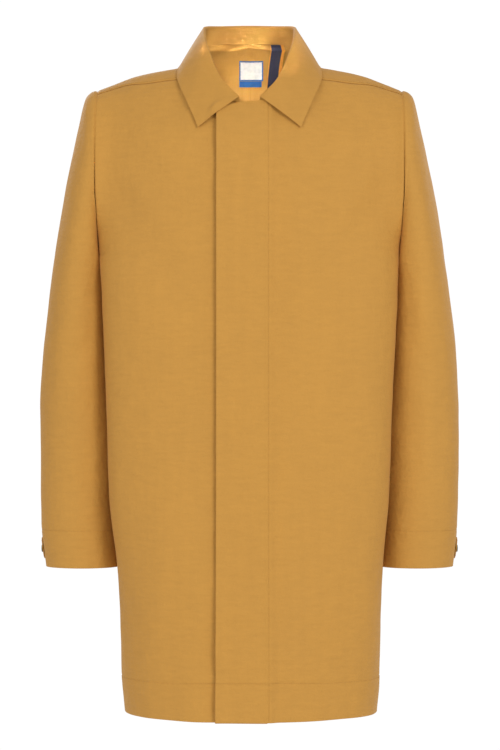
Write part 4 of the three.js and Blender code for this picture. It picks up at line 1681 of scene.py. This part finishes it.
# ---- sleeves and cuffs
@dataclass
class Sleeve:
    """One sleeve, sewn round the armhole, with a turned cuff and a press-studded tab behind the wrist."""

    side: Side
    cell: float = 5.2 * MM
    fold: float = 0.95 * MM
    cuff_depth: float = 53 * MM
    tuck: float = 9 * MM
    flat: tuple[float, float] = (0.46, 0.76)
    # outer x, outer z, inner x, inner z, half-depth and middle y of each section, in millimetres
    sections: tuple = (
        (217.0, -42.0, 217.0, -280.0, 70.0, 0.0), (231.0, -49.5, 217.5, -282.0, 71.0, 0.5),
        (244.0, -97.0, 217.5, -286.0, 72.5, 1.0), (257.0, -154.0, 217.5, -291.0, 73.0, 2.0),
        (268.0, -212.0, 217.5, -298.0, 72.0, 3.0), (277.0, -269.0, 216.5, -309.0, 70.5, 4.0),
        (285.0, -326.0, 212.0, -332.0, 68.0, 5.0), (292.0, -383.0, 208.0, -384.0, 64.0, 6.0),
        (297.0, -440.0, 206.0, -440.0, 60.0, 7.0), (299.6, -498.0, 203.4, -498.0, 57.0, 7.0),
        (299.6, -555.0, 201.5, -555.0, 54.0, 6.0), (298.5, -612.0, 199.5, -612.0, 51.0, 5.0),
        (296.5, -669.0, 194.5, -669.0, 48.5, 4.0), (291.0, -721.0, 190.0, -721.0, 46.0, 3.0),
    )

    def __post_init__(self) -> None:
        """Turns the sections into smooth tables."""
        rows = np.array(self.sections) * MM
        at = np.arange(len(rows), dtype=float)
        self.tables = [smooth_table(list(zip(at, column))) for column in rows.T]

    def surface(self, angle: np.ndarray, s: np.ndarray) -> np.ndarray:
        """The smooth form.

        Args:
            angle: From the outer edge round the back.
            s: From 0 at the armhole to 1 at the cuff.

        Returns:
            The points.
        """
        g = np.clip(s, 0, 1) * (len(self.sections) - 1)
        ox, oz, ix, iz, deep, y0 = (table(g) for table in self.tables)
        near = FORM.half_width(iz) - self.tuck * smoothstep(-iz, 0.278, 0.300)
        loose = smoothstep(-iz, 0.56, 0.72)
        close = near + (ix - 3.5 * MM - near) * loose
        ix = ix + (close - ix) * smoothstep(s, 0, 0.10)
        x = (ox + ix) / 2 + (ox - ix) / 2 * np.cos(angle)
        z = (oz + iz) / 2 + (oz - iz) / 2 * np.cos(angle)
        y = y0 + deep * np.sin(angle)
        armhole, _ = FORM.across(Face.FRONT, np.full_like(x, SIDE_C), z)
        x = x + (armhole - SHOULDER_X) * (1 - smoothstep(s, 0, 0.10))
        return np.stack([x * self.side.value, y, z], -1)

    def at(self, angle: np.ndarray, s: np.ndarray, off: np.ndarray | float = 0.0) -> np.ndarray:
        """Points of the outer face, off outside it.

        Args:
            angle: The angles round it.
            s: The places down it.
            off: Distance outside it.

        Returns:
            The points.
        """
        p = self.surface(angle, s)
        n = surface_normals(self.surface, angle, np.clip(s, 0.004, 0.996), 2e-3, 2e-3) * -self.side.value
        fade = smoothstep(s, 0.0, 0.07)
        cuff = p[..., 2] - (CUFF_Z + self.cuff_depth)
        wave = 0.2 * np.sin(angle * 36 + 3 * np.sin(angle * 5))
        pucker = (-0.45 * ridge(cuff, 1.8 * MM) + wave * ridge(cuff, 8 * MM)) * MM
        head = 1.6 * MM * smoothstep(s, 0.0, 0.012) * (1 - smoothstep(s, 0.03, 0.085))
        head = head * (0.5 + 0.5 * np.cos(angle))
        sink = -1.0 * MM * (1 - smoothstep(s, 0.0, 0.02))
        return p + n * (DRAPE.on_sleeve(p, self.side, angle) * fade + pucker + head + sink + off)[..., None]

    def s_at(self, z: float) -> float:
        """The s whose outer edge is at the height z."""
        s = np.linspace(0, 1, 900)
        return float(np.interp(-z, -self.surface(np.zeros_like(s), s)[..., 2], s))

    def build(self) -> bpy.types.Object:
        """Makes the sleeve and says what it stands for.

        Returns:
            The piece.
        """
        long = 0.70
        r, top = self.fold / long, 1 - self.s_at(CUFF_Z + self.cuff_depth)
        turn = np.linspace(0, math.pi, 7)[1:-1]
        s = np.concatenate([
            np.linspace(0, 0.05, 12)[:-1], even(0.05, 1 - top - 0.012, self.cell / long),
            even(1 - top - 0.012, 1 - top + 0.012, 1.6 * MM / long),
            even(1 - top + 0.012, 1 - r, self.cell / long),
            [1 - r], 1 - r * (1 - np.sin(turn)), [1 - r], np.linspace(1 - r, 1 - top, 12)[1:],
        ])
        straight = len(s) - 12 - len(turn)
        round_fold = self.fold * (1 - np.cos(turn))
        inside = np.concatenate([np.zeros(straight), round_fold, np.full(12, 2 * self.fold)])
        angle = np.linspace(0, math.tau, 97)[:-1]
        grid_a, grid_s = np.meshgrid(angle, s)
        word = self.side.word
        piece = Cloth(f"sleeve_cloth_{word}", self.at(grid_a, grid_s, -inside[:, None]), wrap=True,
                      flip=self.side is Side.LEFT).build()
        FINISH.put(piece, "ochre_shell_cloth")
        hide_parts(f"sleeve_top_{word}", f"sleeve_under_{word}", f"cuff_facing_{word}")
        return report(Carry.sleeve(piece, self.side), "sleeve with turned cuff")

    def cuff_stitches(self) -> bpy.types.Object:
        """The row that holds the turned cuff.

        Returns:
            The piece.
        """
        angle = np.linspace(0, math.tau, 120)
        s = np.full_like(angle, self.s_at(CUFF_Z + self.cuff_depth))
        piece = Stitching(f"cuff_stitches_{self.side.word}", [self.at(angle, s, 0.16 * MM)]).build()
        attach(piece, f"{self.side.word}_sleeve")
        return piece

    def tab(self) -> list[bpy.types.Object]:
        """The cuff tab, its stitches and its press-stud cap.

        Returns:
            The three pieces.
        """
        word, (low, high) = self.side.word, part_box(f"cuff_tab_{self.side.word}")
        s0, s1 = self.s_at(high[2]), self.s_at(low[2])
        middle, half = (s0 + s1) / 2, (s1 - s0) / 2
        columns = np.concatenate([np.linspace(-7, 4, 9)[:-1], np.linspace(4, 96, 40)])
        angle, v = np.meshgrid(np.radians(columns), np.linspace(-1, 1, 11))
        degrees = np.degrees(angle)
        narrow = 1 - 0.42 * (1 - smoothstep(degrees, -7, 5)) ** 1.5
        edge = 0.5 * MM * (np.abs(v) > 0.95)
        p = self.at(angle, middle + v * half * narrow, 2.0 * MM - edge)
        tab = Cloth(f"cuff_tab_cloth_{word}", p, thick=1.2 * MM, flip=self.side is Side.LEFT).build()
        FINISH.put(tab, "ochre_shell_cloth")
        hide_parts(f"cuff_tab_{word}")
        turns = np.radians(np.linspace(-4, 93, 60))
        rows = [self.at(turns, np.full_like(turns, middle + k * 0.74 * half), 2.1 * MM) for k in (-1, 1)]
        stitches = Stitching(f"cuff_tab_stitches_{word}", rows, width=0.36 * MM).build()
        seat = self.at(np.array([0.0, 0.02]), np.array([middle, middle]), 1.9 * MM)[0]
        axis = Vector((self.side.value, 0, 0))
        profile = [(0, 0), (5.6 * MM, 0), (5.7 * MM, 0.5 * MM), (5.2 * MM, 1.1 * MM), (4.2 * MM, 1.45 * MM),
                   (3.9 * MM, 1.3 * MM), (2.4 * MM, 1.5 * MM), (0, 1.7 * MM)]
        cap = lathe(f"cuff_stud_cap_{word}", profile, Vector(seat), axis)
        FINISH.put(cap, "stud_metal")
        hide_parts(f"cuff_snap_cap_{word}")
        for piece in (tab, stitches, cap):
            report(piece, "cuff tab")
            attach(piece, f"{word}_cuff_tab")
        return [tab, stitches, cap]


# ---- the fly's hidden studs
@dataclass
class FlyStuds:
    """The press studs under the fly: studs on the right front, sockets on the fly's inner layer."""

    left: Front
    right: Front
    layer: float
    count: int = 6

    def build(self) -> None:
        """Makes the studs and sockets where the frame has them."""
        for k in range(1, self.count + 1):
            low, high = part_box(f"fly_stud_{k}")
            x, z = (low[0] + high[0]) / 2, (low[2] + high[2]) / 2
            self._one(self.right, -x, z, 0.1 * MM, 1, f"stud_{k}", "right_front", f"fly_stud_{k}", [
                (0, 0), (6.4 * MM, 0), (6.4 * MM, 0.5 * MM), (5.6 * MM, 0.75 * MM), (3.3 * MM, 0.8 * MM),
                (2.9 * MM, 1.0 * MM), (3.1 * MM, 1.7 * MM), (2.6 * MM, 1.95 * MM), (1.2 * MM, 1.95 * MM),
                (1.0 * MM, 1.5 * MM), (0, 1.5 * MM)])
            off = self.layer - self.left.lift - 0.05 * MM
            self._one(self.left, x, z, off, -1, f"socket_{k}", "left_front", f"fly_socket_{k}", [
                (0, 0), (6.4 * MM, 0), (6.4 * MM, 0.45 * MM), (5.9 * MM, 0.7 * MM), (4.6 * MM, 1.05 * MM),
                (3.6 * MM, 1.05 * MM), (3.3 * MM, 0.5 * MM), (0, 0.45 * MM)])

    def _one(self, front: Front, a: float, z: float, off: float, faces: int, name: str, body: str, node: str,
             profile: list) -> None:
        """Turns one stud or socket and seats it on its cloth.

        Args:
            front: The front that carries it.
            a: Its place across.
            z: Its height.
            off: Its seat outside the front's face.
            faces: 1 to face out and -1 to face in.
            name: Its name.
            body: The body that it rides.
            node: The node that it replaces.
            profile: Its (radius, height) points.
        """
        q = front.q_at(a, z)
        here = front.at(np.array([a]), np.array([q]), off)[0]
        above = front.at(np.array([a]), np.array([q + 0.012]), off)[0]
        beside = front.at(np.array([a + 0.008]), np.array([q]), off)[0]
        normal = np.cross(beside - here, above - here) * front.side.value * faces
        piece = lathe(name, profile, Vector(here), Vector(normal).normalized())
        FINISH.put(piece, "stud_metal")
        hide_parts(node)
        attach(piece, body)
        report(piece, "press stud")


# ---- inside the coat
@dataclass
class Lining:
    """Facing, seam tapes, labels, pocket bags and hanging tape on the inside."""

    back: Back = field(default_factory=lambda: Back(Side.LEFT, seamless=True))
    tape_depth: float = 1.1 * MM

    def lay(self, name: str, x: tuple[float, float], z: tuple[float, float], depth: float, thick: float,
            finish: str, nodes: Sequence[str], cells: tuple[int, int] = (16, 12)) -> bpy.types.Object:
        """A flat piece on the inside of the back, between two x and two z.

        Args:
            name: Its name.
            x: Its two sides.
            z: Its foot and its top.
            depth: How far inside the shell's face its own is.
            thick: Its thickness.
            finish: Its finish.
            nodes: The nodes that it replaces.
            cells: Its columns and rows of points.

        Returns:
            The piece.
        """
        a, height = np.meshgrid(np.linspace(*x, cells[0]), np.linspace(*z, cells[1]))
        neck = self.back.q_neck(np.abs(a)) - 0.012
        q = np.minimum(self.back.q_from(a, height), neck)
        piece = self.back.patch(name, a, q, depth, thick, finish)
        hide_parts(*nodes)
        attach(piece, "torso")
        return report(piece, "inside the back")

    @staticmethod
    def to_stand(p: np.ndarray) -> np.ndarray:
        """Carries a piece's top row on up to the straight seam where the stand is sewn on.

        Args:
            p: The piece's points, with the top row last.

        Returns:
            The same with three more rows.
        """
        top = p[-1]
        line = top.copy()
        seam = STAND_SEAM_Z + STAND_SEAM_SLOPE * (top[:, 1] - STAND_SEAM_Y)
        rise = np.maximum(seam - top[:, 2], 0.2 * MM) * (1 - smoothstep(np.abs(top[:, 0]), 0.060, 0.070))
        line[:, 0] -= rise * 0.32 * top[:, 0] / 0.06
        line[:, 1] += rise * 0.16
        line[:, 2] += rise
        return np.concatenate([p, [top * 0.67 + line * 0.33, top * 0.33 + line * 0.67, line]])

    def neck(self) -> None:
        """The curved facing under the neck seam."""
        a, v = np.meshgrid(np.linspace(-0.070, 0.070, 60), np.linspace(0, 1, 14))
        top = self.back.q_neck(np.abs(a)) - 0.006
        z_top = FORM.over(a, top)[..., 2]
        low = self.back.q_from(a, z_top - 0.034)
        grid = self.to_stand(self.back.at(a, low + (top - low) * v, -1.1 * MM))
        piece = Cloth("neck_facing", grid, thick=0.6 * MM, flip=True).build()
        FINISH.put(piece, "ochre_facing_cloth")
        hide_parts("neck_facing_back")
        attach(piece, "torso")
        report(piece, "neck facing")

    def labels(self) -> None:
        """A plain woven label in a narrow frame, and a plain size tab under it."""
        self.lay("main_label_cloth", (-0.015, 0.020), (-0.015, 0.012), 2.0 * MM, 0.45 * MM,
                 "white_label_weave", ["main_label"], (36, 28))
        a, z = np.meshgrid(np.linspace(-0.0153, 0.0203, 37), np.linspace(-0.0153, 0.0123, 29))
        keep = np.ones((28, 36), bool)
        keep[2:-2, 2:-2] = False
        q = self.back.q_from(a, z)
        frame_piece = Cloth("main_label_frame", self.back.at(a, q, -2.50 * MM), thick=0.14 * MM, keep=keep,
                            flip=True).build()
        FINISH.put(frame_piece, "blue_label_weave")
        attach(frame_piece, "torso")
        self.lay("size_tab_cloth", (-0.015, 0.018), (-0.024, -0.0158), 2.0 * MM, 0.45 * MM,
                 "blue_label_weave", ["size_tab"], (20, 8))
        x0, z0, x1, z1 = -0.0137, -0.0137, 0.0187, 0.0107
        around = [(x0, z0), (x1, z0), (x1, z1), (x0, z1), (x0, z0)]
        lines = []
        for (x0, z0), (x1, z1) in zip(around, around[1:]):
            x, z = np.linspace(x0, x1, 24), np.linspace(z0, z1, 24)
            lines.append(self.back.at(x, self.back.q_from(x, z), -2.72 * MM))
        stitches = Stitching("label_stitches", lines, length=1.4 * MM, width=0.3 * MM, pitch=2.0 * MM,
                             finish="white_thread").build()
        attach(stitches, "torso")

    def hanging_tape(self) -> None:
        """A ribbon with two narrow edges, sewn down at both ends and free between them."""
        for name, x0, x1, finish, node in (
            ("hanging_ribbon", 0.0300, 0.0452, "navy_ribbon", "hanging_tape"),
            ("hanging_ribbon_edge_inner", 0.0284, 0.0299, "amber_ribbon", "hanging_tape_edge_inner"),
            ("hanging_ribbon_edge_outer", 0.0453, 0.0500, "amber_ribbon", "hanging_tape_edge_outer"),
        ):
            u, v = np.meshgrid(np.linspace(0, 1, 10 if finish == "navy_ribbon" else 5), np.linspace(0, 1, 44))
            a = x0 + (x1 - x0) * u + 0.0075 * (v - 0.62)
            low = self.back.q_from(a, np.full_like(a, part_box("hanging_tape")[0][2]))
            q = low + (self.back.q_neck(a) - 0.004 - low) * v
            depth = 2.6 * MM + 7.0 * MM * np.sin(math.pi * v) ** 0.8 + 0.2 * MM * np.sin(u * math.pi)
            grid = self.to_stand(self.back.at(a, q, -depth))
            piece = FINISH.put(Cloth(name, grid, thick=0.7 * MM, flip=True).build(), finish)
            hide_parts(node)
            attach(piece, "torso")
            report(piece, "hanging tape")

    def tapes(self) -> None:
        """Tapes over the centre back, side and shoulder seams."""
        self.lay("centre_back_seam_tape", (-0.009, 0.007), (HEM_Z + 0.055, -0.016), 1.0 * MM, 0.4 * MM,
                 "seam_tape_cloth", ["centre_back_tape"], (6, 200))
        rows = []
        for x in (-0.0079, -0.0052, 0.0035, 0.0060):
            z = np.linspace(HEM_Z + 0.056, 0.026, 300)
            a = np.full_like(z, x)
            deeper = np.where(z > -0.016, 0.55 * MM, 0)
            q = np.minimum(self.back.q_from(a, z), self.back.q_neck(np.abs(a)) - 0.01)
            rows.append(self.back.at(a, q, -1.5 * MM - deeper))
        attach(Stitching("centre_back_stitches", rows, width=0.38 * MM).build(), "torso")
        for side in Side:
            word = side.word
            back, front = Back(side), Front(side, PLACKET_OUT if side is Side.LEFT else -UNDERLAP_X)
            a = np.linspace(SIDE_C - 7 * MM, SIDE_C, 5)
            z = np.linspace(HEM_Z + 0.055, UNDERARM_Z - 0.010, 120)
            grid_a, grid_z = np.meshgrid(a, z)
            on_front = front.at(grid_a, self._front_q(grid_a, grid_z), -self.tape_depth)
            on_back = back.at(grid_a, back.q_from(grid_a, grid_z), -self.tape_depth)
            grid = np.concatenate([on_front, on_back[:, ::-1][:, 1:]], 1)
            piece = Cloth(f"side_seam_tape_cloth_{word}", grid, thick=0.4 * MM,
                          flip=side is Side.RIGHT).build()
            self._finish_tape(piece, f"side_seam_tape_{word}", (0.014, 0.58))
            x = np.linspace(NECK_X + 8 * MM, SHOULDER_X - 6 * MM, 60)
            all_a = np.linspace(0.05, SIDE_C, 200)
            all_x, _ = FORM.across(Face.BACK, all_a, np.full_like(all_a, -0.1))
            grid_a, lean = np.meshgrid(np.interp(x, all_x, all_a), np.linspace(-0.05, 0.05, 6))
            end = back.q_end(np.repeat(x[None, :], 6, 0))
            piece = Cloth(f"shoulder_tape_cloth_{word}", back.at(grid_a, end + lean, -1.6 * MM),
                          thick=0.4 * MM, flip=side is Side.LEFT).build()
            self._finish_tape(piece, f"shoulder_tape_{word}", (0.13, 0.016))

    @staticmethod
    def _front_q(a: np.ndarray, z: np.ndarray) -> np.ndarray:
        """The q of heights on the upright part of a front.

        Args:
            a: Where across.
            z: The heights.

        Returns:
            Their q.
        """
        x, _ = FORM.across(Face.FRONT, a, np.full_like(a, -0.1))
        foot = FORM.ridge_z(np.abs(x)) - FORM.arch(x, Face.FRONT)
        return (z - HEM_Z) / (foot - HEM_Z)

    @staticmethod
    def _finish_tape(piece: bpy.types.Object, node: str, flat: tuple[float, float]) -> None:
        """Dresses a seam tape and says what it stands for.

        Args:
            piece: The tape.
            node: The node that it replaces.
            flat: Its flat size; not used.
        """
        FINISH.put(piece, "seam_tape_cloth")
        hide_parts(node)
        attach(piece, "torso")
        report(piece, "seam tape")

    def pockets(self) -> None:
        """A flat pocket bag behind each side front."""
        for side in Side:
            word = side.word
            front = Front(side, PLACKET_OUT if side is Side.LEFT else -UNDERLAP_X)
            u, v = np.meshgrid(np.linspace(0, 1, 26), np.linspace(0, 1, 44))
            rounded = 0.026 * (1 - np.sqrt(np.clip(1 - np.maximum(0, 1 - v / 0.22) ** 2, 0, 1)))
            a = (0.140 + rounded) + (0.222 - 0.140 - rounded) * u
            z = -0.640 + 0.200 * v
            puff = 0.5 * MM * np.sin(math.pi * u) * np.sin(math.pi * v)
            grid = front.at(a, self._front_q(a, z), -1.5 * MM - puff)
            piece = Cloth(f"pocket_bag_cloth_{word}", grid, thick=1.4 * MM, flip=side is Side.RIGHT).build()
            FINISH.put(piece, "ochre_facing_cloth")
            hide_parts(f"pocket_bag_{word}")
            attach(piece, "torso")
            report(piece, "pocket bag")

    def build(self) -> None:
        """Makes everything inside the coat."""
        self.neck()
        self.labels()
        self.hanging_tape()
        self.tapes()
        self.pockets()


# ---- studio
@dataclass
class Studio:
    """A white room with soft light, a pale floor and the camera."""

    camera_z: float = -0.4476
    distance: float = 3.3
    frame_height: float = 1.0725
    floor_z: float = -1.25
    lamps: tuple = (
        # name, place, aimed at, size, watts
        ("key", (2.0, -3.1, 0.75), (0, 0, -0.30), 1.5, 53.0),
        ("fill", (-2.1, -3.1, 0.1), (0, 0, -0.34), 2.0, 33.0),
        ("top", (0.0, -0.8, 2.4), (0, 0, -0.1), 1.6, 1.5),
        ("rear", (-1.4, 3.1, 1.4), (0, 0, -0.4), 1.8, 48.0),
        ("rear_fill", (1.8, 2.8, 0.4), (0, 0, -0.5), 2.0, 22.0),
    )
    ambient: float = 0.55
    neck_watts: float = 0.05

    def build(self) -> None:
        """Makes the world, the lamps, the floor and the camera."""
        scene = bpy.context.scene
        world = bpy.data.worlds.new("white_room")
        world.use_nodes = True
        self.sky(world.node_tree)
        scene.world = world
        scene.view_settings.view_transform = "Standard"
        scene.view_settings.look = "None"
        for name, place, target, size, watts in self.lamps:
            light = bpy.data.lights.new(name, "AREA")
            light.shape, light.size, light.energy = "DISK", size, watts
            lamp = bpy.data.objects.new(name, light)
            lamp.location = place
            lamp.rotation_euler = (Vector(target) - Vector(place)).to_track_quat("-Z", "Y").to_euler()
            scene.collection.objects.link(lamp)
        self.neck_lamp()
        self.floor()
        camera = bpy.data.cameras.new("camera")
        camera.sensor_fit, camera.sensor_height = "VERTICAL", 36.0
        camera.lens = 36.0 * self.distance / self.frame_height
        eye = bpy.data.objects.new("camera", camera)
        eye.location = (0.0007, -self.distance, self.camera_z)
        eye.rotation_euler = (math.pi / 2, 0, 0)
        scene.collection.objects.link(eye)
        scene.camera = eye

    def sky(self, tree: bpy.types.NodeTree) -> None:
        """A backdrop that looks white and lights the coat softly.

        Args:
            tree: The world's nodes.
        """
        seen = tree.nodes["Background"]
        seen.inputs["Color"].default_value = (1, 1, 1, 1)
        seen.inputs["Strength"].default_value = 1.02
        light = tree.nodes.new("ShaderNodeBackground")
        light.inputs["Strength"].default_value = self.ambient
        light.inputs["Color"].default_value = (1, 1, 1, 1)
        mix, path = tree.nodes.new("ShaderNodeMixShader"), tree.nodes.new("ShaderNodeLightPath")
        tree.links.new(path.outputs["Is Camera Ray"], mix.inputs[0])
        tree.links.new(light.outputs[0], mix.inputs[1])
        tree.links.new(seen.outputs[0], mix.inputs[2])
        tree.links.new(mix.outputs[0], tree.nodes["World Output"].inputs[0])

    def neck_lamp(self) -> None:
        """A narrow soft lamp that reaches the label and the tape inside the neck."""
        light = bpy.data.lights.new("neck", "AREA")
        light.shape, light.size, light.energy = "DISK", 0.06, self.neck_watts
        light.spread = math.radians(3.4)
        lamp = bpy.data.objects.new("neck", light)
        place, target = Vector((0.0, -2.4, 0.75)), Vector((0.0, 0.06, -0.002))
        lamp.location = place
        lamp.rotation_euler = (target - place).to_track_quat("-Z", "Y").to_euler()
        bpy.context.scene.collection.objects.link(lamp)

    def floor(self) -> None:
        """A plain pale floor, well below the hem."""
        half = 1.6
        mesh = bpy.data.meshes.new("floor")
        corners = ((-half, -half), (half, -half), (half, half), (-half, half))
        mesh.from_pydata([(x, y, self.floor_z) for x, y in corners], [], [(0, 1, 2, 3)])
        piece = link("floor", mesh)
        maker = Maker("pale_floor")
        grain = maker.noise(maker.place(), 14.0, 4.0)
        maker.set(Base_Color=maker.blend(grain, (0.80, 0.80, 0.79, 1), (0.86, 0.86, 0.85, 1)),
                  Roughness=0.8 + (grain - 0.5) * 0.1)
        mesh.materials.append(maker.material)


# ---- the coat
def main() -> None:
    """Builds the coat's parts in order."""
    logging.basicConfig(level=logging.INFO, format="%(name)s: %(message)s")
    Studio().build()
    left = Front(Side.LEFT, PLACKET_OUT, lift=FLY_LIFT, turned=70 * MM, flat=(0.42, 0.98))
    right = Front(Side.RIGHT, -UNDERLAP_X, turned=10 * MM, flat=(0.36, 0.98))
    layer, layer_thick = 4.2 * MM, 0.6 * MM
    for front in (left, right):
        front.build()
        front.hem_stitches()
    q = np.linspace(left.q_at(PLACKET_STITCH, HEM_Z + 3 * MM), 1.98, 420)
    fly_row = Stitching("fly_stitches", [left.line(np.full_like(q, PLACKET_STITCH), q)]).build()
    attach(fly_row, "left_front")
    left.strip("fly_underlayer_cloth", PLACKET_OUT + 3 * MM, 23 * MM, HEM_Z + 4 * MM, layer, layer_thick,
               "ochre_facing_cloth", ["fly_underlayer"])
    right.strip("front_facing_cloth", -20.5 * MM, 52 * MM, HEM_Z + 56 * MM, -2.1 * MM, 0.6 * MM,
                "ochre_facing_cloth", ["front_facing_right"])
    FlyStuds(left, right, layer - layer_thick).build()
    for side in Side:
        back = Back(side)
        back.build()
        back.seam_stitches()
        sleeve = Sleeve(side)
        sleeve.build()
        sleeve.cuff_stitches()
        sleeve.tab()
    collar = Collar()
    collar.build()
    collar.stitches()
    Lining().build()


if __name__ == "__main__":
    main()
